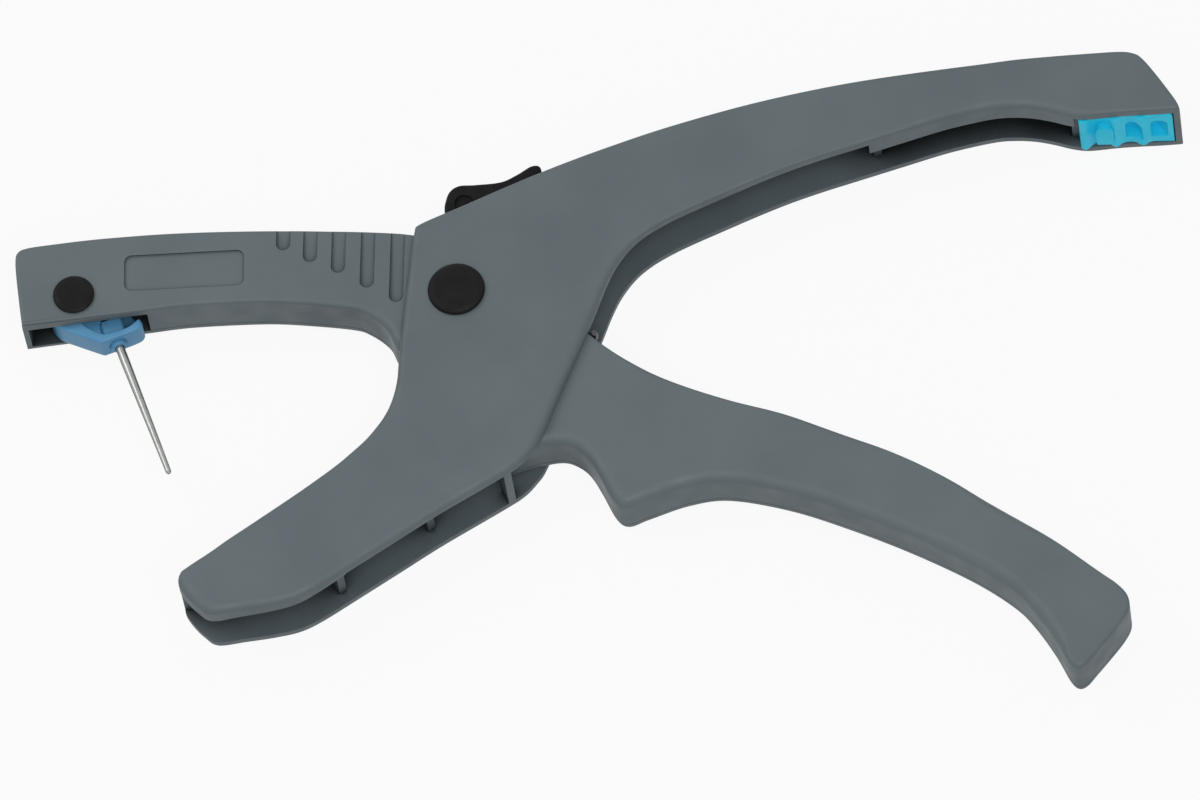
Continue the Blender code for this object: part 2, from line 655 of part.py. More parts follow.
def build_pivot(steel, black, bronze):
    pivot = Vector((0, 0))
    ring_low = FRAME_THICK - RING_THICK - 2 * FIT_GAP
    groove_low = ring_low - FIT_GAP
    groove_high = ring_low + RING_THICK + FIT_GAP
    neck = SHAFT_RADIUS - RING_GROOVE
    socket_bottom = FRAME_THICK - SHAFT_SOCKET_DEPTH
    shaft = turned("pivot_shaft", [
        (0.0, socket_bottom), (SHAFT_SOCKET_RADIUS, socket_bottom),
        (SHAFT_SOCKET_RADIUS, FRAME_THICK), (SHAFT_RADIUS - FIT_GAP, FRAME_THICK),
        (SHAFT_RADIUS - FIT_GAP, groove_high), (neck, groove_high), (neck, groove_low),
        (SHAFT_RADIUS, groove_low), (SHAFT_RADIUS, SHAFT_HEAD), (SHAFT_HEAD_RADIUS, SHAFT_HEAD),
        (SHAFT_HEAD_RADIUS, 0.0), (0.0, 0.0),
    ], pivot)
    make_part(shaft, "pivot_shaft", steel)

    cap_low = FRAME_THICK + FIT_GAP
    spigot = SHAFT_SOCKET_RADIUS - 2 * FIT_GAP
    cap = turned("pivot_cap", [
        (0.0, cap_low + CAP_HEIGHT),
        *rim(CAP_SHARES, CAP_RADIUS, cap_low, CAP_HEIGHT),
        (CAP_RADIUS, cap_low), (spigot, cap_low), (spigot, socket_bottom + 2 * FIT_GAP),
        (0.0, socket_bottom + 2 * FIT_GAP),
    ], pivot)
    make_part(cap, "pivot_cap", black)

    ring = turned("pivot_retaining_ring", ring_profile(
        RING_RADIUS, neck + FIT_GAP, ring_low, ring_low + RING_THICK), pivot, closed=True)
    make_part(ring, "pivot_retaining_ring", steel)
    opening = block("ring opening", Vector((RING_RADIUS, 0)), 2 * RING_RADIUS, RING_OPENING,
                    ring_low - CUT_OVERRUN, FRAME_THICK + CUT_OVERRUN)
    cut(ring, make_cutter(opening, "ring opening"))

    washer_low = INNER_LOW + FIT_GAP
    washer_high = INNER_HIGH - FIT_GAP
    for name, low in (("thrust_washer_far", washer_low),
                      ("thrust_washer_near", washer_high - WASHER_THICK)):
        washer = turned(name, ring_profile(WASHER_RADIUS, BUSH_BORE, low, low + WASHER_THICK),
                        pivot, closed=True)
        make_part(washer, name, steel)
    bush_low = LEVER_LOW + WASHER_RECESS + FIT_GAP
    bush_high = MIDDLE - FIT_GAP
    for name, low, high in (("pivot_bush_far", bush_low, bush_high),
                            ("pivot_bush_near", FRAME_THICK - bush_high, FRAME_THICK - bush_low)):
        bush = turned(name, ring_profile(BUSH_RADIUS, BUSH_BORE, low, high), pivot, closed=True)
        make_part(bush, name, bronze)


def tangent_degrees(target, radius, side):
    """Where a straight leg to the target leaves a coil that is centred on the origin."""
    reach = math.degrees(math.acos(radius / target.length))
    return math.degrees(math.atan2(target.y, target.x)) + side * reach


def coil(centre, radius, start, sweep, low, high, steps):
    """Points of a coil that turns by sweep degrees while it rises."""
    count = max(2, int(abs(sweep) / 360.0 * steps))
    points = []
    for i in range(count + 1):
        angle = math.radians(start + sweep * i / count)
        points.append(Vector((
            centre.x + radius * math.cos(angle), centre.y + radius * math.sin(angle),
            low + (high - low) * i / count)))
    return points


def build_return_spring(steel):
    """Torsion spring round the hub bosses: one leg under the frame's top web, one on the lever."""
    low = LEVER_INNER_LOW + SPRING_WIRE / 2 + 2 * FIT_GAP
    high = LEVER_INNER_HIGH - SPRING_WIRE / 2 - 2 * FIT_GAP
    start = place(HUB_EDGE_SHARES)
    along = (place(HUB_EDGE_END_SHARES) - start).normalized()
    inward = Vector((along.y, -along.x))
    frame_rest = (start + along * SPRING_FRAME_REST_SHARE * PLAN
                  + inward * (FRAME_WEB + SPRING_WIRE / 2 + SPRING_TIP_GAP))
    lever_rest = place(SPRING_LEVER_REST_SHARES)
    first = tangent_degrees(frame_rest, SPRING_RADIUS, -1)
    last = tangent_degrees(lever_rest, SPRING_RADIUS, 1) - 360.0 * SPRING_TURNS
    points = [Vector((frame_rest.x, frame_rest.y, low))]
    points += coil(Vector((0, 0)), SPRING_RADIUS, first, last - first, low, high, SPRING_STEPS)
    bend = SPRING_WIRE
    back = (Vector(points[-1].xy) - lever_rest).normalized() * bend
    points.append(Vector((lever_rest.x + back.x, lever_rest.y + back.y, high)))
    points.append(Vector((lever_rest.x + back.x / 4, lever_rest.y + back.y / 4, high + bend / 4)))
    points.append(Vector((lever_rest.x, lever_rest.y, high + bend)))
    points.append(Vector((lever_rest.x, lever_rest.y, LEVER_HIGH - FIT_GAP)))
    return wire("return_spring", points, SPRING_WIRE, steel)


def needle_line():
    """The needle's root, its direction and its angle in plan."""
    aim = Vector(NEEDLE_AIM_SHARES).normalized()
    return place(NEEDLE_ROOT_SHARES), aim, math.atan2(aim.y, aim.x)


def along_needle(item, distance):
    """Turn a solid from +Z to the needle's direction and put its base on the needle's line."""
    root, aim, angle = needle_line()
    spot = root + aim * distance
    item.location = (spot.x, spot.y, MIDDLE)
    item.rotation_euler = (0, math.pi / 2, angle)


def needle_bar(name, radius, start, end):
    bar = cylinder(name, Vector((0, 0)), radius, start, end, SMALL_SIDES)
    along_needle(bar, (start + end) / 2)
    return make_cutter(bar, name)


def build_needle(steel, blue_steel):
    needle = turned("needle", [
        (0.0, NEEDLE_LENGTH), (NEEDLE_TIP_RADIUS * NEEDLE_FLAT_SHARE, NEEDLE_LENGTH),
        (NEEDLE_TIP_RADIUS, NEEDLE_LENGTH - NEEDLE_POINT), (NEEDLE_RADIUS, COLLAR_STANDOUT),
        (NEEDLE_RADIUS, -NEEDLE_SHANK), (0.0, -NEEDLE_SHANK),
    ], Vector((0, 0)), sides=SMALL_SIDES)
    along_needle(needle, 0.0)
    make_part(needle, "needle", steel)
    collar = turned("needle_collar", ring_profile(
        COLLAR_RADIUS, NEEDLE_RADIUS + FIT_GAP, COLLAR_STANDOUT - COLLAR_LENGTH, COLLAR_STANDOUT,
    ), Vector((0, 0)), closed=True, sides=SMALL_SIDES)
    along_needle(collar, 0.0)
    make_part(collar, "needle_collar", blue_steel)
    return [needle, collar]


def build_carrier(blue_steel):
    low = MIDDLE - CARRIER_THICK / 2
    high = MIDDLE + CARRIER_THICK / 2
    carrier = plate("needle_carrier", smooth_path(CARRIER_SHARES), low, high, CARRIER_ROUND)
    make_part(carrier, "needle_carrier", blue_steel)
    hollow = plate("carrier hollow", smooth_path(CARRIER_HOLLOW_SHARES),
                   low + CARRIER_WALL, high - CARRIER_WALL)
    sleeve = needle_bar("carrier sleeve", COLLAR_RADIUS + FIT_GAP + SLEEVE_WALL,
                        COLLAR_STANDOUT - COLLAR_LENGTH - NEEDLE_RADIUS, CUT_OVERRUN)
    make_cutter(hollow, "carrier hollow")
    cut(hollow, sleeve)
    scoop = make_cutter(plate("carrier scoop", smooth_path(CARRIER_SCOOP_SHARES),
                              high - CARRIER_WALL - FIT_GAP, high + CUT_OVERRUN), "carrier scoop")
    fork_x, fork_y, fork_length, fork_width = CARRIER_FORK_SHARES
    fork = make_cutter(block(
        "carrier fork", place((fork_x, fork_y)), fork_length * PLAN, fork_width * PLAN,
        MIDDLE - CARRIER_FORK / 2, MIDDLE + CARRIER_FORK / 2), "carrier fork")
    bore = make_cutter(cylinder(
        "carrier bore", place(JAW_PIN_SHARES), CARRIER_PIN_RADIUS + FIT_GAP,
        -CUT_OVERRUN, FRAME_THICK + CUT_OVERRUN, SMALL_SIDES), "carrier bore")
    collar_bore = needle_bar("collar bore", COLLAR_RADIUS + FIT_GAP,
                             COLLAR_STANDOUT - COLLAR_LENGTH - FIT_GAP, CUT_OVERRUN)
    needle_bore = needle_bar("needle bore", NEEDLE_RADIUS + FIT_GAP,
                             -NEEDLE_SHANK - FIT_GAP, CUT_OVERRUN)
    cut(carrier, hollow, scoop, fork, bore, collar_bore, needle_bore)
    shade_round(carrier)
    return carrier


def build_carrier_pin(steel, black):
    spot = place(JAW_PIN_SHARES)
    low = LEVER_LOW + FIT_GAP
    high = LEVER_HIGH - FIT_GAP
    pin = turned("carrier_pin", [
        (0.0, high - PIN_SOCKET_DEPTH), (PIN_SOCKET_RADIUS, high - PIN_SOCKET_DEPTH),
        (PIN_SOCKET_RADIUS, high), (CARRIER_PIN_RADIUS, high), (CARRIER_PIN_RADIUS, low),
        (PIN_SOCKET_RADIUS, low), (PIN_SOCKET_RADIUS, low + PIN_SOCKET_DEPTH),
        (0.0, low + PIN_SOCKET_DEPTH),
    ], spot, sides=SMALL_SIDES)
    make_part(pin, "carrier_pin", steel)
    spigot = PIN_SOCKET_RADIUS - FIT_GAP
    reach = PIN_SOCKET_DEPTH - 2 * FIT_GAP
    cap_low = LEVER_HIGH + FIT_GAP
    cap = turned("carrier_pin_cap", [
        (0.0, cap_low + PIN_CAP_HEIGHT),
        *rim(PIN_CAP_SHARES, PIN_CAP_RADIUS, cap_low, PIN_CAP_HEIGHT),
        (PIN_CAP_RADIUS, cap_low), (spigot, cap_low), (spigot, high - reach), (0.0, high - reach),
    ], spot)
    make_part(cap, "carrier_pin_cap", black)
    clip_high = LEVER_LOW - FIT_GAP
    clip = turned("carrier_pin_clip", [
        (0.0, low + reach), (spigot, low + reach), (spigot, clip_high),
        (PIN_CLIP_RADIUS, clip_high),
        *rim(PIN_CLIP_SHARES, PIN_CLIP_RADIUS, clip_high, -PIN_CAP_HEIGHT),
        (0.0, clip_high - PIN_CAP_HEIGHT),
    ], spot)
    make_part(clip, "carrier_pin_clip", black)
    carrier_low = MIDDLE - CARRIER_THICK / 2
    washer_low = LEVER_INNER_LOW - CARRIER_WASHER_RECESS + FIT_GAP
    for name, base in (("carrier_washer_far", washer_low),
                       ("carrier_washer_near", FRAME_THICK - washer_low - CARRIER_WASHER_THICK)):
        washer = turned(name, ring_profile(
            CARRIER_WASHER_RADIUS, CARRIER_PIN_RADIUS + FIT_GAP, base,
            base + CARRIER_WASHER_THICK), spot, closed=True, sides=SMALL_SIDES)
        make_part(washer, name, steel)


def build_carrier_spring(steel):
    """Small torsion spring in the carrier's fork, which swings the needle back."""
    spot = place(JAW_PIN_SHARES)
    rest = place(CARRIER_SPRING_REST_SHARES) - spot
    first = tangent_degrees(rest, CARRIER_SPRING_RADIUS, -1)
    low = MIDDLE - CARRIER_SPRING_TURNS * CARRIER_SPRING_PITCH / 2
    high = MIDDLE + CARRIER_SPRING_TURNS * CARRIER_SPRING_PITCH / 2
    points = [Vector((spot.x + rest.x, spot.y + rest.y, low))]
    points += coil(spot, CARRIER_SPRING_RADIUS, first, -360.0 * CARRIER_SPRING_TURNS - first,
                   low, high, SPRING_STEPS)
    floor = place(CARRIER_FORK_SHARES).y - CARRIER_FORK_SHARES[3] * PLAN / 2
    points.append(Vector((points[-1].x, floor + 2 * FIT_GAP, high)))
    return wire("carrier_spring", points, CARRIER_SPRING_WIRE, steel)


def build_latch(black, steel):
    low = MIDDLE - LATCH_THICK / 2
    high = MIDDLE + LATCH_THICK / 2
    latch = plate("lock_lever", smooth_path(LATCH_SHARES), low, high, LATCH_ROUND)
    make_part(latch, "lock_lever", black)
    spot = place(LATCH_PIN_SHARES)
    bore = cylinder("latch pin bore", spot, LATCH_PIN_RADIUS + FIT_GAP,
                    -CUT_OVERRUN, FRAME_THICK + CUT_OVERRUN, SMALL_SIDES)
    recess = cylinder("latch recess", place(LATCH_RECESS_SHARES), LATCH_RECESS_RADIUS,
                      high - LATCH_RECESS_DEPTH, high + CUT_OVERRUN, SMALL_SIDES)
    cut(latch, make_cutter(bore, bore.name), make_cutter(recess, recess.name))
    shade_round(latch)
    pin = cylinder("lock_pin", spot, LATCH_PIN_RADIUS, INNER_LOW - LATCH_SOCKET_DEPTH,
                   INNER_HIGH + LATCH_SOCKET_DEPTH, SMALL_SIDES)
    make_part(pin, "lock_pin", steel)
    return latch


def build_insert(cyan):
    insert = plate("handle_insert", smooth_path(INSERT_SHARES), INNER_LOW + INSERT_GAP,
                   INNER_HIGH - INSERT_GAP)
    make_part(insert, "handle_insert", cyan)
    mouth = place(INSERT_SHARES[0]).y
    for i, (x, width, lean) in enumerate(POCKET_SHARES):
        half = width * PLAN / 2
        flat = MIDDLE - POCKET_LENGTH / 2
        outline = arc(Vector((0, MIDDLE + POCKET_LENGTH / 2 - half)), half, 0.0, 180.0, POCKET_STEPS)
        outline += [Vector((-half, flat)), Vector((half, flat))]
        pocket = plate(f"insert pocket {i + 1}", outline, -POCKET_DEPTH, CUT_OVERRUN)
        pocket.location = (x * PLAN, mouth, 0)
        pocket.rotation_euler = (math.pi / 2, 0, math.radians(lean))
        cut(insert, make_cutter(pocket, pocket.name), careful=True)
    shade_round(insert)
    return insert


def make_hinge(name, spot, pieces):
    """An empty on the hinge's axis, which its pieces follow."""
    hinge = bpy.data.objects.new(name, None)
    hinge.location = (spot.x, spot.y, MIDDLE)
    bpy.data.collections[PARTS].objects.link(hinge)
    for piece in pieces:
        piece.parent = hinge
        piece.matrix_parent_inverse = Matrix.Translation(-hinge.location)
    return hinge


def build():
    remove_everything()
    new_collection(PARTS)
    new_collection(CUTTERS)
    grey = make_material("grey nylon", GREY, 0.45, 0.0)
    grey_light = make_material("grey nylon lever", GREY_LIGHT, 0.45, 0.0)
    black = make_material("black plastic", BLACK, 0.35, 0.0)
    blue_steel = make_material("blue steel", BLUE_STEEL, 0.35, 1.0)
    steel = make_material("steel", STEEL, 0.3, 1.0)
    bronze = make_material("bronze", BRONZE, 0.4, 1.0)
    cyan = make_material("soft cyan", CYAN, 0.5, 0.0)
    build_frame(grey)
    lever = build_lever(grey_light)
    build_pivot(steel, black, bronze)
    build_return_spring(steel)
    carrier = build_carrier(blue_steel)
    needle = build_needle(steel, blue_steel)
    build_carrier_pin(steel, black)
    build_carrier_spring(steel)
    latch = build_latch(black, steel)
    build_insert(cyan)

    lever_names = (
        "pivot_bush_near", "pivot_bush_far", "carrier_pin", "carrier_pin_cap",
        "carrier_pin_clip", "carrier_washer_near", "carrier_washer_far",
    )
    lever_hinge = make_hinge(
        "lever hinge", Vector((0, 0)), [lever] + [bpy.data.objects[name] for name in lever_names])
    carrier_hinge = make_hinge(
        "carrier hinge", place(JAW_PIN_SHARES),
        [carrier, bpy.data.objects["carrier_spring"]] + needle)
    carrier_hinge.parent = lever_hinge
    carrier_hinge.matrix_parent_inverse = Matrix.Translation(-lever_hinge.location)
    make_hinge("latch hinge", place(LATCH_PIN_SHARES), [latch])


build()
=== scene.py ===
"""Looks of the ear tag applicator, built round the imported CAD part.

The fine mouldings follow the same plan outlines as the CAD, in shares of PLAN.
All sizes are in metres. The tool lies on its far wall and +Z faces the viewer.
"""

import math

import bmesh
import bpy
import numpy as np
from mathutils import Matrix, Vector
from mathutils.geometry import delaunay_2d_cdt

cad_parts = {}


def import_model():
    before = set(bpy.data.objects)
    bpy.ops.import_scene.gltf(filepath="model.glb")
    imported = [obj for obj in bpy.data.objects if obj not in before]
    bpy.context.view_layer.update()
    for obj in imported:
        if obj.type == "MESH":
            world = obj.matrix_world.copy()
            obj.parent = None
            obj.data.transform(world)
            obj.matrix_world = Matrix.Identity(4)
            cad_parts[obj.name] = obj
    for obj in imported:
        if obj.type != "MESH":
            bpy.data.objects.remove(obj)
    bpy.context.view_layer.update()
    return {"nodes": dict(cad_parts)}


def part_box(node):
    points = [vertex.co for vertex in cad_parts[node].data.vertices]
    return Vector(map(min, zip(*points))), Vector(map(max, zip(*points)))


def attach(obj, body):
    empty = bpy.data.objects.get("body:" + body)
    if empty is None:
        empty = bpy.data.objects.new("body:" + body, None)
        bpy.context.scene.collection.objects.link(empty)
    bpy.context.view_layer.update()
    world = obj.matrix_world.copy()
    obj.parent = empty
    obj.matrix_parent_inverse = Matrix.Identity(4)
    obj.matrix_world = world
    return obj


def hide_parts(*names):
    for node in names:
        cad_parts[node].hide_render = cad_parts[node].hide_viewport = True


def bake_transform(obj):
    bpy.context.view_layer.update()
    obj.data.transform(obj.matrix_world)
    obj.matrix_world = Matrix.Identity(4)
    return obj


MM = 0.001
PLAN = 100.0 * MM
SPACING = 0.9 * MM
FINE_SPACING = 0.4 * MM
INSERT_SPACING = 0.3 * MM
WELD = 0.002 * MM
MERGE = 1e-5
TINY = 1e-9
OVERRUN = 6.0 * MM

# Heights from the far face up, and thicknesses
FRAME_THICK = 19.0 * MM
FRAME_WALL = 2.5 * MM
FRAME_WEB = 2.5 * MM
FRAME_FAR_ROUND = 1.0 * MM
FRAME_RIB = 2.0 * MM
FRAME_END_WEB = 1.6 * MM
LEVER_LOW = 2.9 * MM
LEVER_HIGH = 16.1 * MM
LEVER_WALL = 2.4 * MM
LEVER_WEB = 2.4 * MM
LEVER_RIB = 1.8 * MM
INNER_LOW = FRAME_WALL
INNER_HIGH = FRAME_THICK - FRAME_WALL
LEVER_INNER_LOW = LEVER_LOW + LEVER_WALL
LEVER_INNER_HIGH = LEVER_HIGH - LEVER_WALL
MIDDLE = FRAME_THICK / 2
GAP = 0.15 * MM

# The frame's outline, clockwise from the corner above the hub
FRAME_TOP_SHARES = (
    (-0.106, 0.180, "corner"), (-0.070, 0.200), (0.060, 0.258), (0.216, 0.328), (0.360, 0.386),
    (0.500, 0.436), (0.697, 0.493), (0.889, 0.536), (1.081, 0.569), (1.273, 0.593),
    (1.466, 0.608), (1.580, 0.614), (1.622, 0.609), (1.645, 0.593), (1.681, 0.545),
    (1.726, 0.476), (1.735, 0.452, "corner"),
)
FRAME_UNDER_SHARES = (
    (1.680, 0.449), (1.620, 0.447), (1.570, 0.444), (1.530, 0.440), (1.500, 0.439), (1.465, 0.445),
    (1.425, 0.457), (1.380, 0.467), (1.330, 0.471), (1.276, 0.467), (1.172, 0.443), (1.060, 0.407),
    (0.960, 0.374), (0.869, 0.344), (0.790, 0.315), (0.713, 0.282), (0.625, 0.241), (0.545, 0.203),
    (0.495, 0.176), (0.450, 0.146), (0.413, 0.110), (0.382, 0.063), (0.360, 0.013),
    (0.342, -0.040), (0.317, -0.111), (0.256, -0.275), (0.212, -0.395), (0.190, -0.433),
    (0.160, -0.468), (0.112, -0.502), (-0.032, -0.594), (-0.127, -0.660),
    (-0.222, -0.726), (-0.317, -0.791), (-0.370, -0.818), (-0.430, -0.832), (-0.500, -0.842),
    (-0.566, -0.850),
)
FRAME_FACE_SHARES = (
    (-0.600, -0.828), (-0.628, -0.798), (-0.646, -0.768), (-0.643, -0.742), (-0.620, -0.720),
    (-0.484, -0.622), (-0.390, -0.552), (-0.295, -0.478), (-0.247, -0.435), (-0.199, -0.384),
    (-0.160, -0.318), (-0.140, -0.245), (-0.135, -0.155), (-0.124, 0.000), (-0.113, 0.120),
)

# The lever's outline, clockwise from the lower corner of the jaw's end
LEVER_TOP_SHARES = (
    (-1.053, -0.058, "corner"), (-1.067, 0.035), (-1.077, 0.118), (-1.072, 0.147), (-1.046, 0.159),
    (-0.980, 0.168), (-0.920, 0.175), (-0.841, 0.182), (-0.697, 0.190), (-0.504, 0.191), (-0.311, 0.186),
    (-0.166, 0.177), (-0.111, 0.170, "corner"),
)
LEVER_HANDLE_SHARES = (
    (0.236, -0.030), (0.346, -0.134), (0.436, -0.197), (0.542, -0.252), (0.663, -0.298),
    (0.809, -0.342), (0.955, -0.402), (1.101, -0.471), (1.247, -0.558), (1.394, -0.654),
    (1.541, -0.771), (1.586, -0.806), (1.611, -0.835), (1.617, -0.868), (1.602, -0.903),
)
LEVER_UNDER_SHARES = (
    (1.570, -0.948), (1.535, -0.993), (1.514, -1.019), (1.494, -1.027), (1.473, -1.008),
    (1.438, -0.941), (1.388, -0.864),
    (1.338, -0.809), (1.240, -0.739), (1.094, -0.660), (0.948, -0.594), (0.802, -0.539),
    (0.657, -0.508), (0.561, -0.519), (0.466, -0.553), (0.416, -0.572), (0.385, -0.552),
    (0.350, -0.485), (0.320, -0.435), (0.288, -0.408), (0.253, -0.397), (0.200, -0.405),
    (0.095, -0.430), (0.020, -0.380), (-0.050, -0.270), (-0.090, -0.190), (-0.145, -0.130),
    (-0.172, -0.079), (-0.220, -0.040), (-0.269, -0.023), (-0.414, -0.006), (-0.510, -0.003),
    (-0.655, -0.008), (-0.751, -0.019, "corner"),
)

# Places in plan. A rim has x, y, length, width, degrees and its lower face's height at both
# ends, as shares of FRAME_THICK. A rib has x, y, length and degrees, and the panel x, y,
# length, width and degrees.
FRAME_WEB_START_SHARE = -0.085
FRAME_END_SHARE = 1.600
FRAME_RIM_SHARES = (
    (1.232, 0.500, 0.494, 0.400, 0.0, 0.658, 0.658),
    (-0.740, -0.917, 1.000, 1.000, 36.0, 0.460, 0.850),
)
FRAME_THROAT_SHARE = -0.215
JAW_WEB_TIP_SHARE = -0.757
WINDOW_SHARES = (-1.040, -0.753)
GROOVE_SHARES = (
    (-0.427, 0.152), (-0.361, 0.118), (-0.292, 0.087), (-0.221, 0.045), (-0.149, 0.004),
)
GROOVE_TOP_SHARE = 0.230
FRAME_RIB_SHARES = (
    (-0.335, -0.623, 0.240, 124.0),
    (-0.125, -0.470, 0.225, 126.0),
    (0.125, -0.475, 0.050, 118.0),
    (0.975, 0.505, 0.160, 107.0),
    (1.479, 0.560, 0.180, 90.0),
)
LEVER_RIB_SHARES = (
    (-0.785, 0.150, 0.110, 90.0),
    (-0.600, 0.090, 0.260, 90.0),
    (-0.380, 0.090, 0.260, 90.0),
    (0.560, -0.400, 0.260, 75.0),
    (0.900, -0.480, 0.260, 66.0),
    (1.220, -0.640, 0.260, 60.0),
)
CARRIER_SHARES = (
    (-0.990, 0.050), (-0.992, -0.010), (-0.972, -0.044), (-0.925, -0.066), (-0.862, -0.091, "corner"),
    (-0.792, -0.064), (-0.768, -0.048), (-0.774, -0.024), (-0.835, 0.045), (-0.885, 0.078),
    (-0.950, 0.080),
)
CARRIER_HOLLOW_SHARES = (
    (-0.878, 0.120), (-0.868, 0.000), (-0.868, -0.052), (-0.840, -0.064), (-0.800, -0.048),
    (-0.785, -0.036), (-0.740, 0.010), (-0.740, 0.120),
)
CARRIER_SCOOP_SHARES = (
    (-0.900, 0.120), (-0.905, 0.010), (-0.910, -0.036), (-0.888, -0.056), (-0.862, -0.068),
    (-0.835, -0.064), (-0.805, -0.053), (-0.782, -0.036), (-0.750, 0.010), (-0.750, 0.120),
)
CARRIER_FORK_SHARES = (-0.940, 0.060, 0.170, 0.190)
LATCH_SHARES = (
    (-0.047, 0.205), (-0.043, 0.246), (-0.043, 0.272), (-0.033, 0.306), (-0.010, 0.323),
    (0.030, 0.325), (0.091, 0.331), (0.130, 0.350), (0.163, 0.372), (0.184, 0.372),
    (0.188, 0.352), (0.160, 0.325), (0.135, 0.270), (0.132, 0.205), (0.105, 0.180),
    (0.070, 0.185), (0.030, 0.218), (0.000, 0.212), (-0.025, 0.196),
)
LATCH_RECESS_SHARES = (0.004, 0.272)
LATCH_SLOT_SHARES = (-0.070, 0.212)
INSERT_SHARES = (
    (1.490, 0.455, "corner"), (1.490, 0.568, "corner"), (1.600, 0.580, "corner"),
    (1.637, 0.568, "corner"), (1.716, 0.449, "corner"), (1.685, 0.449), (1.664, 0.449),
    (1.653, 0.445), (1.640, 0.438), (1.627, 0.445), (1.616, 0.449), (1.601, 0.449),
    (1.590, 0.445), (1.575, 0.435), (1.559, 0.444), (1.547, 0.449), (1.529, 0.449),
    (1.517, 0.441), (1.502, 0.429), (1.490, 0.437),
)
POCKET_SHARES = ((1.551, 0.043, 0.0), (1.618, 0.037, 15.0), (1.678, 0.035, 32.0))
JAW_PIN_SHARES = (-0.930, 0.024)
NEEDLE_ROOT_SHARES = (-0.825, -0.079)
NEEDLE_AIM_SHARES = (0.360, -0.933)
SPRING_FRAME_REST_SHARE = 0.400
SPRING_LEVER_REST_SHARES = (0.332, -0.108)
CARRIER_SPRING_REST_SHARES = (-0.800, 0.115)
LATCH_PIN_SHARES = (0.095, 0.215)
HUB_EDGE_SHARES = (-0.070, 0.200)
HUB_EDGE_END_SHARES = (0.216, 0.328)
TOOTH_DEGREES = 84.0
HUB_START_DEGREES = 116.0
HUB_END_DEGREES = 20.0

# The near rims' rounding: places in shares of PLAN, each with its radius in millimetres
FRAME_ROUND_SPOTS = (
    (0.20, 0.33, 0.8), (0.80, 0.53, 0.8), (1.40, 0.61, 0.9), (1.69, 0.53, 0.9), (1.62, 0.44, 0.8),
    (1.43, 0.455, 1.9), (1.30, 0.47, 2.0), (1.17, 0.44, 1.7), (1.00, 0.39, 1.0), (0.75, 0.30, 0.8),
    (0.50, 0.18, 1.0), (0.38, 0.05, 1.8), (0.30, -0.16, 2.2), (0.21, -0.40, 2.2),
    (0.05, -0.54, 1.8), (-0.13, -0.66, 1.8), (-0.32, -0.79, 1.9), (-0.55, -0.845, 2.1),
    (-0.635, -0.79, 2.3), (-0.63, -0.73, 1.6), (-0.48, -0.62, 0.9), (-0.25, -0.44, 1.0),
    (-0.14, -0.24, 1.8), (-0.12, 0.00, 1.9), (-0.11, 0.15, 1.5),
)
LEVER_ROUND_SPOTS = (
    (-1.00, 0.165, 0.7), (-0.50, 0.19, 0.7), (-0.15, 0.175, 0.7), (-1.07, 0.06, 0.9),
    (-0.95, -0.05, 0.9), (-0.60, -0.005, 0.9), (-0.30, -0.015, 1.2), (-0.14, -0.13, 2.2),
    (0.05, -0.41, 2.6), (0.30, -0.41, 2.6), (0.41, -0.57, 2.8), (0.66, -0.51, 2.7),
    (0.95, -0.59, 2.8), (1.24, -0.74, 3.2), (1.43, -0.93, 3.0), (1.49, -1.02, 1.6),
    (1.57, -0.95, 1.0), (1.61, -0.87, 0.9), (1.54, -0.77, 0.7), (1.10, -0.47, 0.6),
    (0.66, -0.30, 0.6), (0.30, -0.10, 0.6),
)
ROUND_BLEND = 2.0

# Small sizes
HUB_CLEARANCE = 0.4 * MM
NEEDLE_SLOT = 6.4 * MM
NEEDLE_SLOT_DEPTH = 12.0 * MM
LATCH_THICK = 5.6 * MM
LATCH_GAP = 0.4 * MM
LATCH_ROUND = 0.8 * MM
LATCH_PIN_RADIUS = 1.5 * MM
LATCH_RECESS_RADIUS = 2.3 * MM
LATCH_RECESS_DEPTH = 0.8 * MM
LATCH_RECESS_FLOOR_SHARE = 0.86
LATCH_RECESS_ROUND = 0.3 * MM
BORE_RADIUS = 4.15 * MM
SEAT_RADIUS = 6.05 * MM
SEAT_DEPTH = 1.25 * MM
CAP_RADIUS = 6.9 * MM
CAP_HEIGHT = 1.5 * MM
CAP_ROUND = 0.8 * MM
HEAD_RADIUS = 6.9 * MM
HEAD_HEIGHT = 1.2 * MM
HEAD_ROUND = 0.35 * MM
SHAFT_RADIUS = 4.0 * MM
SHAFT_TOP = 18.9 * MM
SEAM_HEIGHT = 2.4 * MM
SEAM_WIDTH = 0.30 * MM
SEAM_DEPTH = 0.15 * MM
SEAM_ROUND = 1.5 * MM
TOOTH_HEIGHT = 3.4 * MM
TOOTH_WIDTH = 2.4 * MM
TOOTH_DROP = 1.4 * MM
BOSS_RADIUS = 7.1 * MM
BOSS_GAP = 1.2 * MM
HUB_BORE = 5.5 * MM
PIN_BORE = 2.55 * MM
GROOVE_WIDTH = 3.4 * MM
GROOVE_DEPTH = 0.8 * MM
GROOVE_ROUND = 0.5 * MM
PANEL_SHARES = (-0.665, 0.086, 0.290, 0.096, 2.0)
PANEL_CORNER = 1.8 * MM
PANEL_DEPTH = 0.45 * MM
PIN_CAP_RADIUS = 5.0 * MM
PIN_CAP_HEIGHT = 1.0 * MM
PIN_CAP_ROUND = 0.5 * MM
PIN_CLIP_RADIUS = 4.2 * MM
PIN_CLIP_ROUND = 0.3 * MM
NEEDLE_LENGTH = 37.6 * MM
NEEDLE_SHANK = 7.0 * MM
NEEDLE_RADIUS = 1.1 * MM
NEEDLE_TIP_RADIUS = 0.68 * MM
NEEDLE_POINT = 0.9 * MM
NEEDLE_ROUND = 0.10 * MM
NEEDLE_TAPER_SHARE = 0.16
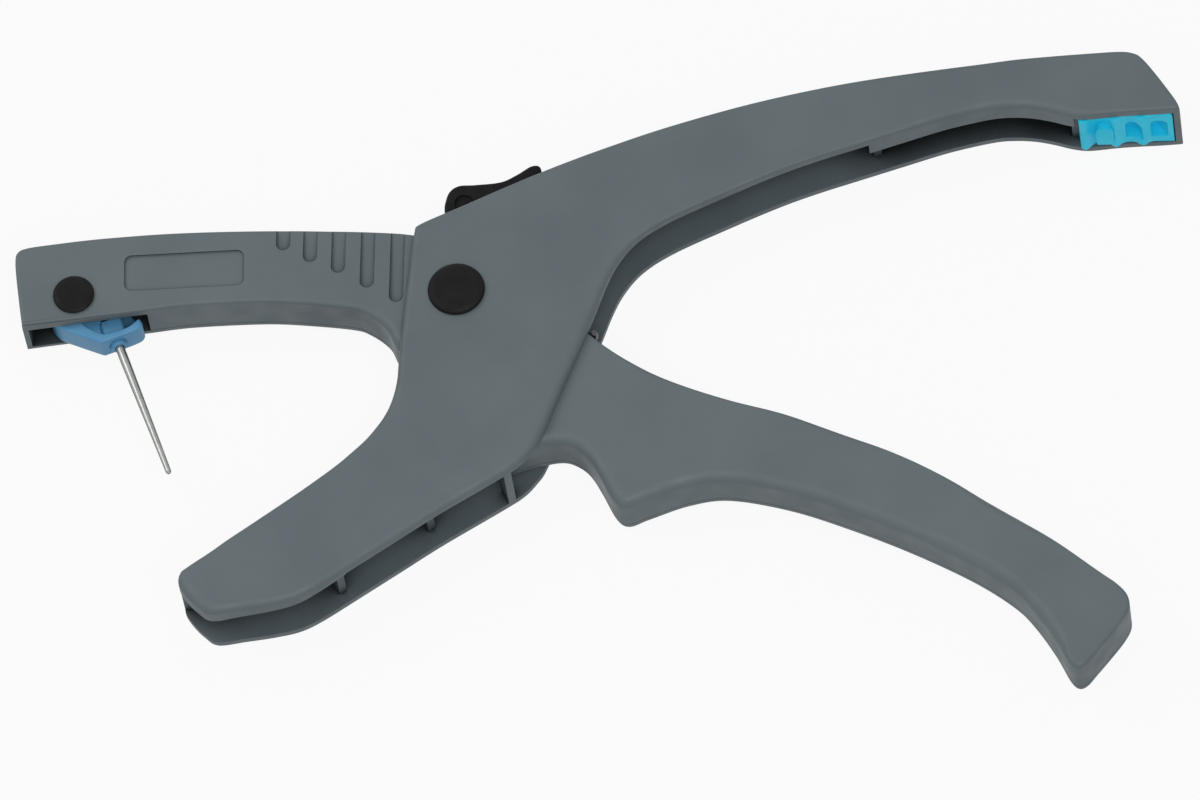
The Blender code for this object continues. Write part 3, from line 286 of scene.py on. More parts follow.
COLLAR_RADIUS = 2.1 * MM
COLLAR_LENGTH = 6.0 * MM
COLLAR_OUT = 0.9 * MM
COLLAR_ROUND = 0.25 * MM
COLLAR_EDGE_SHARES = (0.9, 0.4)
SLEEVE_WALL = 0.9 * MM
CARRIER_THICK = 7.4 * MM
CARRIER_ROUND = 0.8 * MM
CARRIER_WALL = 1.3 * MM
CARRIER_FORK = 4.4 * MM
CARRIER_SPRING_WIRE = 0.7 * MM
CARRIER_SPRING_RADIUS = 3.4 * MM
CARRIER_SPRING_PITCH = 0.95 * MM
SPRING_WIRE = 1.5 * MM
SPRING_TURNS = 3
SPRING_RADIUS = 8.5 * MM
SPRING_TIP_GAP = 0.6 * MM
INSERT_ROUND = 0.4 * MM
POCKET_DEPTH = 3.6 * MM
POCKET_LENGTH = 7.8 * MM
POCKET_CORNER = 0.5 * MM

# Profiles of turned pieces, from the axis out: shares of the radius and of the height
CAP_PROFILE_SHARES = (
    (0.0, 1.0), (0.80, 0.96), (0.955, 0.66), (1.0, 0.25), (1.0, 0.0), (0.9, 0.0), (0.0, 0.0),
)
PIN_CAP_PROFILE_SHARES = ((0.0, 1.0), (0.84, 0.97), (1.0, 0.55), (1.0, 0.0), (0.0, 0.0))
PIN_CLIP_PROFILE_SHARES = (
    (0.0, 0.0), (1.0, 0.0), (1.0, 0.6), (0.86, 1.0), (0.35, 1.0), (0.28, 0.6), (0.0, 0.6),
)
HEAD_SOCKET_SHARES = (0.42, 0.34, 0.55)
NEEDLE_TIP_SHARES = ((0.62, 0.0), (0.70, 0.35), (1.0, 0.42), (1.02, 1.0))

# The angle above which an edge stays sharp
SHARP_DEGREES = 34.0
CAST_DEGREES = 38.0
METAL_DEGREES = 40.0
SOFT_DEGREES = 50.0
NEEDLE_SHARP_DEGREES = 30.0

# Camera: the photograph's directions, and its width on the object
VIEW_BACK = Vector((0.088, -0.461, 0.883))
VIEW_RIGHT = Vector((0.9959, 0.0215, -0.088))
VIEW_CENTRE = Vector((0.0, 0.0, 19.0 * MM))
VIEW_SHIFT = (34.44 * MM, -26.40 * MM)
VIEW_WIDTH = 288.0 * MM
LENS = 400.0
SENSOR = 36.0
CAMERA_CLIP = (0.1, 50.0)

# Light: the world's strength, the floor and each lamp's place, size and power
ROOM = 0.40
ROOM_COLOUR = (0.97, 0.985, 1.0, 1.0)
WHITE = (1.0, 1.0, 1.0, 1.0)
FLOOR = 12.0
FLOOR_WHITE = 0.92
FLOOR_GREY = (0.62, 0.625, 0.63, 1.0)
LAMPS = (
    ("key", (0.4, -1.0, 1.7), 1.1, 15.0),
    ("fill", (-1.1, 0.5, 1.3), 1.0, 7.0),
)

# Finishes: the reach and strength of the painted shade in recesses, and each pair of colours
RECESS = 14.0 * MM
RECESS_SHARE = 0.10
RECESS_SPAN = (0.42, 0.92)
FRAME_GREY = ((0.108, 0.134, 0.146), (0.122, 0.150, 0.162))
LEVER_GREY = ((0.112, 0.139, 0.150), (0.126, 0.155, 0.166))
BLACK = ((0.0075, 0.0072, 0.0075), (0.0125, 0.0115, 0.0118))
BLUE = ((0.082, 0.262, 0.455), (0.100, 0.300, 0.500))
CYAN = ((0.012, 0.520, 0.720), (0.022, 0.570, 0.780))
# painted glow: the cyan light the insert gives off, though it is no lamp
CYAN_PAINTED_GLOW = (0.01, 0.42, 0.56, 1.0)
NEEDLE_STEEL = ((0.30, 0.31, 0.30), (0.36, 0.37, 0.355))
STEEL = ((0.42, 0.43, 0.44), (0.58, 0.59, 0.60))
SPRING_STEEL = ((0.060, 0.062, 0.066), (0.110, 0.112, 0.118))
BRONZE = ((0.42, 0.27, 0.13), (0.56, 0.38, 0.20))
NEEDLE_DEGREES = -68.9

# CAD nodes that are shown as they are
CARRIED = (
    ("pivot_retaining_ring", "steel"), ("pivot_bush_near", "bronze"), ("pivot_bush_far", "bronze"),
    ("thrust_washer_near", "steel"), ("thrust_washer_far", "steel"), ("carrier_pin", "steel"),
    ("carrier_washer_near", "steel"), ("carrier_washer_far", "steel"), ("lock_pin", "steel"),
)


def place(shares):
    """A place in plan, from its shares."""
    return np.array(shares[:2], float) * PLAN


def smooth_path(shares, closed=True, spacing=SPACING, least=4):
    """A smooth line through the points, which breaks at each corner."""
    points = [place(entry) for entry in shares]
    corner = [len(entry) > 2 for entry in shares]
    count = len(points)
    path = []
    for i in range(count if closed else count - 1):
        j = (i + 1) % count
        first = not closed and i == 0
        last = not closed and j == count - 1
        p1, p2 = points[i], points[j]
        p0 = p1 if corner[i] or first else points[i - 1]
        p3 = p2 if corner[j] or last else points[(j + 1) % count]
        steps = max(least, math.ceil(np.linalg.norm(p2 - p1) / spacing))
        for k in range(steps):
            t = k / steps
            path.append(0.5 * (
                2 * p1 + (p2 - p0) * t
                + (2 * p0 - 5 * p1 + 4 * p2 - p3) * t ** 2
                + (3 * p1 - p0 - 3 * p2 + p3) * t ** 3
            ))
    if not closed:
        path.append(points[-1])
    return path


def arc(centre, radius, start, end, steps):
    """Points on an arc, between two directions in degrees."""
    angles = np.radians(np.linspace(start, end, steps + 1))
    return [np.array(centre) + radius * np.array((math.cos(a), math.sin(a))) for a in angles]


def line_gap(points, path, closed=True):
    """How far each point is from the path."""
    points = np.asarray(points, float)
    start = np.asarray(path, float)
    end = np.roll(start, -1, axis=0)
    if not closed:
        start, end = start[:-1], end[:-1]
    along = end - start
    square = np.maximum((along ** 2).sum(1), TINY ** 2)
    gaps = np.empty(len(points))
    for i in range(0, len(points), 512):
        part = points[i:i + 512, None, :] - start[None]
        share = np.clip((part * along[None]).sum(2) / square, 0, 1)
        away = part - share[:, :, None] * along[None]
        gaps[i:i + 512] = np.sqrt((away ** 2).sum(2).min(1))
    return gaps


def shifted(path, distance, closed=False, keep=0.97):
    """The path moved to its right by the distance, without the loops at tight bends."""
    points = np.asarray(path, float)
    distance = np.broadcast_to(distance, len(points))
    ahead = np.roll(points, -1, axis=0)
    behind = np.roll(points, 1, axis=0)
    if not closed:
        ahead[-1] = points[-1]
        behind[0] = points[0]
    along = ahead - behind
    along /= np.linalg.norm(along, axis=1)[:, None]
    moved = points + distance[:, None] * np.stack((along[:, 1], -along[:, 0]), 1)
    good = line_gap(moved, points, closed) > keep * np.abs(distance)
    return [p for p, ok in zip(moved, good) if ok]


def holds(path, points):
    """Which points lie inside the closed path."""
    path = np.asarray(path, float)
    x, y = np.asarray(points, float).T
    inside = np.zeros(len(x), bool)
    for (x0, y0), (x1, y1) in zip(path, np.roll(path, -1, axis=0)):
        if y0 != y1:
            crosses = (y0 > y) != (y1 > y)
            inside ^= crosses & (x < (x1 - x0) * (y - y0) / (y1 - y0) + x0)
    return inside


def clockwise(path):
    x, y = np.asarray(path, float).T
    area = (x * np.roll(y, -1) - np.roll(x, -1) * y).sum()
    return list(path) if area < 0 else list(path)[::-1]


def radius_at(points, radius):
    """The rounding at each point: one radius, or the blend of the radii at the nearest places."""
    if isinstance(radius, float):
        return np.full(len(points), radius)
    spots = np.array([(x, y) for x, y, _ in radius]) * PLAN
    sizes = np.array([size for _, _, size in radius]) * MM
    gaps = ((np.asarray(points, float)[:, None, :] - spots[None]) ** 2).sum(2) + MM ** 2
    weights = gaps ** -ROUND_BLEND
    return (weights * sizes).sum(1) / weights.sum(1)


def rounded_face(path, radius, rings):
    """Triangles over the path, with each corner's drop below the flat face."""
    loops = [list(path)]
    for k in range(1, rings + 1):
        depth = radius_at(path, radius) * (1 - math.cos(math.pi / 2 * k / rings))
        loops.append(shifted(path, depth, True))
    points, edges = [], []
    for loop in loops:
        first = len(points)
        points += [Vector(p) / MM for p in loop]
        edges += [(first + i, first + (i + 1) % len(loop)) for i in range(len(loop))]
    found, _, faces, source, _, _ = delaunay_2d_cdt(points, edges, [], 0, MERGE, True)
    flat = np.array([(v.x, v.y) for v in found]) * MM
    gaps = line_gap(flat, path)
    for i, origin in enumerate(source):
        if any(k < len(path) for k in origin):
            gaps[i] = 0.0
            flat[i] = path[min(origin)]
    radii = radius_at(flat, radius)
    back = radii - np.minimum(gaps, radii)
    drop = radii - np.sqrt(np.maximum(radii ** 2 - back ** 2, 0.0))
    middles = np.array([flat[list(face)].mean(0) for face in faces])
    inside = holds(path, middles)
    return flat, drop, [face for face, ok in zip(faces, inside) if ok]


def new_object(name, shape):
    mesh = bpy.data.meshes.new(name)
    shape.to_mesh(mesh)
    shape.free()
    item = bpy.data.objects.new(name, mesh)
    bpy.context.scene.collection.objects.link(item)
    return item


def rounded_plate(name, path, low, high, near=0.0, far=0.0, rings=5, sides=()):
    """A plate whose rims are rounded.

    The sides are pairs of a height and how far the wall stands back there.
    """
    path = clockwise(path)
    shape = bmesh.new()
    for level, radius, up in ((high, near, 1), (low, far, -1)):
        if radius:
            flat, drop, faces = rounded_face(path, radius, rings)
            corners = [shape.verts.new((x, y, level - up * d)) for (x, y), d in zip(flat, drop)]
            for face in faces:
                shape.faces.new([corners[i] for i in face])
        else:
            shape.faces.new([shape.verts.new((x, y, level)) for x, y in path])
    levels = [(low + radius_at(path, far), 0.0)] + list(sides) + [(high - radius_at(path, near), 0.0)]
    rows = []
    for height, back in levels:
        loop = shifted(path, back, True, 0.0) if back else path
        heights = np.broadcast_to(height, len(path))
        rows.append([shape.verts.new((x, y, z)) for (x, y), z in zip(loop, heights)])
    for lower, upper in zip(rows, rows[1:]):
        for i in range(len(path)):
            j = (i + 1) % len(path)
            shape.faces.new((lower[i], lower[j], upper[j], upper[i]))
    bmesh.ops.remove_doubles(shape, verts=shape.verts, dist=WELD)
    bmesh.ops.recalc_face_normals(shape, faces=shape.faces)
    return new_object(name, shape)


def block(name, spot, length, width, low, high, degrees=0.0, rise=0.0):
    """A box, whose lower face may rise along its length."""
    shape = bmesh.new()
    bmesh.ops.create_cube(shape, size=1.0)
    for vert in shape.verts:
        if vert.co.z < 0.0 < vert.co.x:
            vert.co.z += rise / (high - low)
        vert.co.x *= length
        vert.co.y *= width
        vert.co.z *= high - low
    turn = Matrix.Translation((spot[0], spot[1], (low + high) / 2))
    bmesh.ops.transform(
        shape, matrix=turn @ Matrix.Rotation(math.radians(degrees), 4, "Z"), verts=shape.verts)
    return new_object(name, shape)


def turned(name, profile, spot=(0.0, 0.0), sides=96, closed=False, base=0.0):
    """A turned solid. The profile runs down its outer side, from the axis back to the axis."""
    shape = bmesh.new()
    angles = [2 * math.pi * i / sides for i in range(sides)]
    rows = []
    for radius, height in profile:
        if radius <= TINY:
            rows.append([shape.verts.new((spot[0], spot[1], base + height))] * sides)
        else:
            rows.append([shape.verts.new((
                spot[0] + radius * math.cos(a), spot[1] + radius * math.sin(a), base + height,
            )) for a in angles])
    pairs = list(zip(rows, rows[1:]))
    if closed:
        pairs.append((rows[-1], rows[0]))
    for upper, lower in pairs:
        for i in range(sides):
            j = (i + 1) % sides
            corners = []
            for vert in (upper[i], upper[j], lower[j], lower[i]):
                if vert not in corners:
                    corners.append(vert)
            if len(corners) > 2:
                shape.faces.new(corners)
    bmesh.ops.recalc_face_normals(shape, faces=shape.faces)
    return new_object(name, shape)


def rod(name, radius, low, high, spot=(0.0, 0.0), sides=96):
    return turned(name, [(0.0, high), (radius, high), (radius, low), (0.0, low)], spot, sides)


def scaled(shares, radius, height):
    return [(radius * across, height * up) for across, up in shares]


def soften(profile, radius, steps=4):
    """The profile with each inner corner rounded."""
    points = [np.array(p, float) for p in profile]
    result = [points[0]]
    for before, here, after in zip(points, points[1:], points[2:]):
        reach = min(radius, np.linalg.norm(here - before) / 2, np.linalg.norm(after - here) / 2)
        start = here + (before - here) / np.linalg.norm(before - here) * reach
        end = here + (after - here) / np.linalg.norm(after - here) * reach
        for k in range(steps + 1):
            t = k / steps
            result.append((1 - t) ** 2 * start + 2 * t * (1 - t) * here + t ** 2 * end)
    result.append(points[-1])
    return result


def bake(item):
    """Put the modifiers' result into the mesh."""
    graph = bpy.context.evaluated_depsgraph_get()
    mesh = bpy.data.meshes.new_from_object(item.evaluated_get(graph))
    item.modifiers.clear()
    item.data = mesh


def cut(target, *helpers, operation="DIFFERENCE"):
    """Cut the helpers from the target, or join them on, and drop them."""
    for helper in helpers:
        modifier = target.modifiers.new(helper.name, "BOOLEAN")
        modifier.operation = operation
        modifier.solver = "EXACT"
        modifier.object = helper
    bake(target)
    for helper in helpers:
        bpy.data.objects.remove(helper)


def shade(item, degrees):
    item.data.shade_smooth()
    item.data.set_sharp_from_angle(angle=math.radians(degrees))
    weighted = item.modifiers.new("weighted normals", "WEIGHTED_NORMAL")
    weighted.keep_sharp = True
    weighted.weight = 60


def keep_in(item, nodes):
    """Hold the piece inside the box of the CAD nodes it stands for."""
    corners = [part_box(node) for node in nodes]
    low = np.min([c[0] for c in corners], axis=0)
    high = np.max([c[1] for c in corners], axis=0)
    count = len(item.data.vertices)
    co = np.zeros(count * 3)
    item.data.vertices.foreach_get("co", co)
    co = np.clip(co.reshape(-1, 3), low, high)
    item.data.vertices.foreach_set("co", co.ravel())
    item.data.update()


def dress(item, material, body, nodes, degrees=SHARP_DEGREES):
    """Give a fine piece its finish and body, and let it stand for its CAD nodes."""
    keep_in(item, nodes)
    item.data.materials.clear()
    item.data.materials.append(material)
    shade(item, degrees)
    if body:
        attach(item, body)
    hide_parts(*nodes)
    return item


def hub_edge():
    """The start and the direction of the frame's edge over the hub."""
    start = place(HUB_EDGE_SHARES)
    along = place(HUB_EDGE_END_SHARES) - start
    return start, along / np.linalg.norm(along)


def hub_reach():
    start, along = hub_edge()
    return abs(start[0] * along[1] - start[1] * along[0]) - FRAME_WEB - HUB_CLEARANCE


def wall_box(name, spot, length, width, degrees=0.0):
    return block(name, spot, length, width, -OVERRUN, FRAME_THICK + OVERRUN, degrees)


def add_ribs(hollow, shares, thickness):
    ribs = []
    for x, y, length, degrees in shares:
        ribs.append(wall_box("rib", place((x, y)), length * PLAN, thickness, degrees))
    cut(hollow, *ribs)


def build_frame(material):
    outline = smooth_path(FRAME_TOP_SHARES + FRAME_UNDER_SHARES + FRAME_FACE_SHARES)
    body = rounded_plate("frame_shell", outline, 0.0, FRAME_THICK, FRAME_ROUND_SPOTS, FRAME_FAR_ROUND)
    top = smooth_path(FRAME_TOP_SHARES, closed=False)
    top = [p for p in top if p[0] > FRAME_WEB_START_SHARE * PLAN]
    handle_end = [p for p in top if p[0] > FRAME_END_SHARE * PLAN]
    under_web = shifted(top[:-len(handle_end)], FRAME_WEB) + shifted(handle_end, FRAME_END_WEB)
    face = [p for p in smooth_path(FRAME_FACE_SHARES, closed=False)
            if JAW_WEB_TIP_SHARE * PLAN < p[1] < FRAME_THROAT_SHARE * PLAN]
    behind_face = shifted(face, FRAME_WEB)
    end, last, tip, throat = under_web[0], under_web[-1], face[0], face[-1]
    hollow_path = under_web + [
        np.array((last[0], last[1] - 4 * OVERRUN)),
        np.array((last[0], tip[1] - 5 * OVERRUN)),
        np.array((tip[0] - OVERRUN, tip[1] - 5 * OVERRUN)),
        np.array((tip[0] - OVERRUN, behind_face[0][1])),
    ] + behind_face + [
        throat + np.array((-OVERRUN, 0.0)),
        np.array((throat[0] - 2 * OVERRUN, 0.0)),
        np.array((throat[0] - 2 * OVERRUN, end[1] + 2 * OVERRUN)),
        np.array((end[0], end[1] + 2 * OVERRUN)),
    ]
    hollow = rounded_plate("frame hollow", hollow_path, INNER_LOW, INNER_HIGH)
    add_ribs(hollow, FRAME_RIB_SHARES, FRAME_RIB)
    cut(hollow, *[
        block("rim", place((x, y)), length * PLAN, width * PLAN,
              start * FRAME_THICK, FRAME_THICK + OVERRUN, degrees, (end - start) * FRAME_THICK)
        for x, y, length, width, degrees, start, end in FRAME_RIM_SHARES])
    face_points = [place(entry) for entry in FRAME_FACE_SHARES[3:6]]
    along = face_points[2] - face_points[1]
    along /= np.linalg.norm(along)
    slot = block(
        "needle slot", face_points[1] + along * NEEDLE_SLOT_DEPTH * 1.5, 3 * NEEDLE_SLOT_DEPTH,
        3 * OVERRUN, MIDDLE - NEEDLE_SLOT / 2, MIDDLE + NEEDLE_SLOT / 2,
        math.degrees(math.atan2(along[1], along[0])))
    left, right = (share * PLAN for share in LATCH_SLOT_SHARES)
    latch_slot = block(
        "latch slot", ((left + right) / 2, place(LATCH_PIN_SHARES)[1] + OVERRUN), right - left,
        4 * OVERRUN, MIDDLE - LATCH_THICK / 2 - LATCH_GAP, MIDDLE + LATCH_THICK / 2 + LATCH_GAP)
    bore = turned("frame bore", [
        (0.0, FRAME_THICK + OVERRUN), (SEAT_RADIUS, FRAME_THICK + OVERRUN),
        (SEAT_RADIUS, FRAME_THICK - SEAT_DEPTH), (BORE_RADIUS, FRAME_THICK - SEAT_DEPTH),
        (BORE_RADIUS, HEAD_HEIGHT + GAP), (HEAD_RADIUS + GAP, HEAD_HEIGHT + GAP),
        (HEAD_RADIUS + GAP, -OVERRUN), (0.0, -OVERRUN),
    ])
    cut(body, hollow, slot, latch_slot, bore)
    return dress(body, material, "frame", ["frame_body"])


def build_lever(material):
    hub = arc((0.0, 0.0), hub_reach(), HUB_START_DEGREES, HUB_END_DEGREES, 60)
    top = smooth_path(LEVER_TOP_SHARES, closed=False)
    rest = smooth_path(LEVER_HANDLE_SHARES + LEVER_UNDER_SHARES, closed=False)
    outline = top[:-1] + hub + rest
    seam = LEVER_LOW + SEAM_HEIGHT
    body = rounded_plate(
        "lever_shell", outline, LEVER_LOW, LEVER_HIGH, LEVER_ROUND_SPOTS, SEAM_ROUND,
        sides=((seam, 0.0), (seam + SEAM_WIDTH / 2, SEAM_DEPTH), (seam + SEAM_WIDTH, 0.0)))
    under = smooth_path(LEVER_HANDLE_SHARES[-1:] + LEVER_UNDER_SHARES, closed=False)
    floor = shifted(under, LEVER_WEB)
    left, right = (share * PLAN for share in WINDOW_SHARES)
    lift = 4 * OVERRUN
    hollow = rounded_plate("lever hollow", floor + [
        np.array((right, floor[-1][1] - 2 * OVERRUN)),
        np.array((left, floor[-1][1] - 2 * OVERRUN)),
        np.array((left, lift)),
        np.array((8 * OVERRUN, lift)),
        np.array((floor[0][0], floor[0][1] + lift)),
    ], LEVER_INNER_LOW, LEVER_INNER_HIGH)
    add_ribs(hollow, LEVER_RIB_SHARES, LEVER_RIB)
    tooth_spot = arc((0, 0), hub_reach() - TOOTH_HEIGHT / 2 - TOOTH_DROP,
                     TOOTH_DEGREES, TOOTH_DEGREES, 1)[0]
    tooth = wall_box("tooth", tooth_spot, TOOTH_HEIGHT, TOOTH_WIDTH, TOOTH_DEGREES)
    cut(hollow, tooth, rod("far boss", BOSS_RADIUS, 0.0, MIDDLE - BOSS_GAP / 2),
        rod("near boss", BOSS_RADIUS, MIDDLE + BOSS_GAP / 2, FRAME_THICK))
    bores = [rod("hub bore", HUB_BORE, 0.0, FRAME_THICK),
             rod("pin bore", PIN_BORE, 0.0, FRAME_THICK, place(JAW_PIN_SHARES))]
    cut(body, hollow, *bores, *groove_cutters(), panel_cutter())
    return dress(body, material, "lever", ["lever_body"])


def groove_cutters():
    cutters = []
    for shares in GROOVE_SHARES:
        bottom = place(shares)
        rise = GROOVE_TOP_SHARE * PLAN
        groove = arc(bottom, GROOVE_WIDTH / 2, 180.0, 360.0, 14)
        groove += [np.array((bottom[0] + GROOVE_WIDTH / 2, rise)),
                   np.array((bottom[0] - GROOVE_WIDTH / 2, rise))]
        cutters.append(rounded_plate(
            "near groove", groove, LEVER_HIGH - GROOVE_DEPTH, LEVER_HIGH + OVERRUN,
            far=GROOVE_ROUND, rings=3))
        cutters.append(rounded_plate(
            "far groove", groove, LEVER_LOW - OVERRUN, LEVER_LOW + GROOVE_DEPTH,
            near=GROOVE_ROUND, rings=3))
    return cutters


def panel_cutter():
    x, y, length, width, degrees = PANEL_SHARES
    half = np.array((length, width)) * PLAN / 2 - PANEL_CORNER
    panel = []
    for sx, sy, start in ((1, 1, 90.0), (1, -1, 0.0), (-1, -1, -90.0), (-1, 1, -180.0)):
        panel += arc(half * (sx, sy), PANEL_CORNER, start, start - 90.0, 8)
    turn = math.radians(degrees)
    matrix = np.array(((math.cos(turn), -math.sin(turn)), (math.sin(turn), math.cos(turn))))
    panel = [matrix @ p + place((x, y)) for p in panel]
    return rounded_plate(
        "panel", panel, LEVER_HIGH - PANEL_DEPTH, LEVER_HIGH + OVERRUN, far=PANEL_DEPTH / 2, rings=3)


def build_caps(black, steel):
    top = FRAME_THICK + GAP
    cap = turned("pivot_cap_fine", soften(
        scaled(CAP_PROFILE_SHARES, CAP_RADIUS, CAP_HEIGHT), CAP_ROUND), base=top)
    dress(cap, black, "frame", ["pivot_cap"], SOFT_DEGREES)
    spot = place(JAW_PIN_SHARES)
    pin_cap = turned("carrier_pin_cap_fine", soften(
        scaled(PIN_CAP_PROFILE_SHARES, PIN_CAP_RADIUS, PIN_CAP_HEIGHT), PIN_CAP_ROUND),
        spot, base=LEVER_HIGH + GAP)
    dress(pin_cap, black, "lever", ["carrier_pin_cap"], SOFT_DEGREES)
    pin_clip = turned("carrier_pin_clip_fine", soften(
        scaled(PIN_CLIP_PROFILE_SHARES, PIN_CLIP_RADIUS, -PIN_CAP_HEIGHT), PIN_CLIP_ROUND),
        spot, base=LEVER_LOW - GAP)
    dress(pin_clip, black, "lever", ["carrier_pin_clip"], SOFT_DEGREES)
    wide, narrow, deep = HEAD_SOCKET_SHARES
    head = turned("pivot_shaft_fine", soften([
        (0.0, SHAFT_TOP), (SHAFT_RADIUS, SHAFT_TOP), (SHAFT_RADIUS, HEAD_HEIGHT),
        (HEAD_RADIUS, HEAD_HEIGHT), (HEAD_RADIUS, 0.0), (HEAD_RADIUS * wide, 0.0),
        (HEAD_RADIUS * narrow, HEAD_HEIGHT * deep), (0.0, HEAD_HEIGHT * deep),
    ], HEAD_ROUND))
    dress(head, steel, "frame", ["pivot_shaft"], METAL_DEGREES)


def along_needle(item, distance=0.0):
    """Turn a solid from +Z to the needle's direction."""
    aim = place(NEEDLE_AIM_SHARES)
    aim /= np.linalg.norm(aim)
    spot = place(NEEDLE_ROOT_SHARES) + aim * distance
    turn = Matrix.Translation((spot[0], spot[1], MIDDLE))
    turn = turn @ Matrix.Rotation(math.atan2(aim[1], aim[0]), 4, "Z")
    item.data.transform(turn @ Matrix.Rotation(math.pi / 2, 4, "Y"))
    return item


def needle_bar(name, radius, low, high):
    return along_needle(rod(name, radius, low, high, sides=48))


def build_needle(steel, blue):
    length, tip = NEEDLE_LENGTH, NEEDLE_TIP_RADIUS
    profile = [(0.0, length)]
    profile += [(tip * across, length - NEEDLE_POINT * down) for across, down in NEEDLE_TIP_SHARES]
    profile += [(NEEDLE_RADIUS, NEEDLE_TAPER_SHARE * length), (NEEDLE_RADIUS, -NEEDLE_SHANK),
                (0.0, -NEEDLE_SHANK)]
    needle = turned("needle_fine", soften(profile, NEEDLE_ROUND), sides=64)
    dress(along_needle(needle), steel, "carrier", ["needle"], NEEDLE_SHARP_DEGREES)
    inner = NEEDLE_RADIUS + GAP / 2
    across, up = COLLAR_EDGE_SHARES
    collar = turned("needle_collar_fine", soften([
        (inner, COLLAR_OUT), (COLLAR_RADIUS * across, COLLAR_OUT), (COLLAR_RADIUS, COLLAR_OUT * up),
        (COLLAR_RADIUS, COLLAR_OUT - COLLAR_LENGTH), (inner, COLLAR_OUT - COLLAR_LENGTH),
        (inner, 0.0),
    ], COLLAR_ROUND), sides=64, closed=True)
    dress(along_needle(collar), blue, "carrier", ["needle_collar"], METAL_DEGREES)


def build_carrier(blue):
    low, high = MIDDLE - CARRIER_THICK / 2, MIDDLE + CARRIER_THICK / 2
    carrier = rounded_plate(
        "needle_carrier_fine", smooth_path(CARRIER_SHARES, spacing=FINE_SPACING), low, high,
        CARRIER_ROUND, CARRIER_ROUND)
    hollow = rounded_plate(
        "carrier hollow", smooth_path(CARRIER_HOLLOW_SHARES, spacing=FINE_SPACING),
        low + CARRIER_WALL, high - CARRIER_WALL)
    cut(hollow, needle_bar("sleeve", COLLAR_RADIUS + GAP + SLEEVE_WALL,
                           COLLAR_OUT - COLLAR_LENGTH - NEEDLE_RADIUS, OVERRUN))
    scoop = rounded_plate(
        "carrier scoop", smooth_path(CARRIER_SCOOP_SHARES, spacing=FINE_SPACING),
        high - CARRIER_WALL - GAP, high + OVERRUN)
    x, y, length, width = CARRIER_FORK_SHARES
    fork = block("fork", place((x, y)), length * PLAN, width * PLAN,
                 MIDDLE - CARRIER_FORK / 2, MIDDLE + CARRIER_FORK / 2)
    bore = rod("bore", PIN_BORE, 0.0, FRAME_THICK, place(JAW_PIN_SHARES), 48)
    seat = needle_bar("seat", COLLAR_RADIUS + GAP / 2, COLLAR_OUT - COLLAR_LENGTH - GAP, OVERRUN)
    stem = needle_bar("stem", NEEDLE_RADIUS + GAP / 2, -NEEDLE_SHANK - GAP, OVERRUN)
    cut(carrier, hollow, scoop, fork, bore, seat, stem)
    return dress(carrier, blue, "carrier", ["needle_carrier"], CAST_DEGREES)


def build_latch(black):
    low, high = MIDDLE - LATCH_THICK / 2, MIDDLE + LATCH_THICK / 2
    latch = rounded_plate("lock_lever_fine", smooth_path(LATCH_SHARES, spacing=FINE_SPACING),
                          low, high, LATCH_ROUND, LATCH_ROUND)
    bore = rod("latch bore", LATCH_PIN_RADIUS + GAP, 0.0, FRAME_THICK, place(LATCH_PIN_SHARES), 48)
    recesses = []
    for level, sign in ((high, 1), (low, -1)):
        edge = level - sign * LATCH_RECESS_DEPTH
        recess = turned("recess", [
            (0.0, 0.0), (LATCH_RECESS_RADIUS * LATCH_RECESS_FLOOR_SHARE, 0.0),
            (LATCH_RECESS_RADIUS, sign * LATCH_RECESS_ROUND),
            (LATCH_RECESS_RADIUS, sign * OVERRUN), (0.0, sign * OVERRUN),
        ], place(LATCH_RECESS_SHARES), 64, base=edge)
        recesses.append(recess)
    cut(latch, bore, *recesses)
    return dress(latch, black, "latch", ["lock_lever"], CAST_DEGREES)


def build_insert(cyan):
    path = smooth_path(INSERT_SHARES, spacing=INSERT_SPACING)
    low, high = INNER_LOW + 2 * GAP, INNER_HIGH - 2 * GAP
    insert = rounded_plate("handle_insert_fine", path, low, high, INSERT_ROUND, INSERT_ROUND)
    mouth = place(INSERT_SHARES[0])[1]
    pockets = []
    for x, width, lean in POCKET_SHARES:
        half = width * PLAN / 2
        flat = MIDDLE - POCKET_LENGTH / 2
        outline = arc((0.0, MIDDLE + POCKET_LENGTH / 2 - half), half, 0.0, 180.0, 20)
        outline += arc((POCKET_CORNER - half, flat + POCKET_CORNER), POCKET_CORNER, 180.0, 270.0, 5)
        outline += arc((half - POCKET_CORNER, flat + POCKET_CORNER), POCKET_CORNER, 270.0, 360.0, 5)
        pocket = rounded_plate("pocket", outline, -POCKET_DEPTH, OVERRUN, far=POCKET_CORNER, rings=3)
        turn = Matrix.Rotation(math.radians(lean), 4, "Z") @ Matrix.Rotation(math.pi / 2, 4, "X")
        pocket.data.transform(Matrix.Translation((x * PLAN, mouth, 0.0)) @ turn)
        pockets.append(pocket)
    cut(insert, *pockets)
    return dress(insert, cyan, "frame", ["handle_insert"], METAL_DEGREES)


def wire(name, points, diameter):
    """A round wire along the points."""
    curve = bpy.data.curves.new(name, "CURVE")
    curve.dimensions = "3D"
    curve.bevel_depth = diameter / 2
    curve.bevel_resolution = 3
    curve.use_fill_caps = True
    spline = curve.splines.new("POLY")
    spline.points.add(len(points) - 1)
    for target, point in zip(spline.points, points):
        target.co = (*point, 1)
    line = bpy.data.objects.new(name + " line", curve)
    bpy.context.scene.collection.objects.link(line)
    graph = bpy.context.evaluated_depsgraph_get()
    mesh = bpy.data.meshes.new_from_object(line.evaluated_get(graph))
    bpy.data.objects.remove(line)
    shape = bmesh.new()
    shape.from_mesh(mesh)
    bmesh.ops.remove_doubles(shape, verts=shape.verts, dist=WELD)
    return new_object(name, shape)


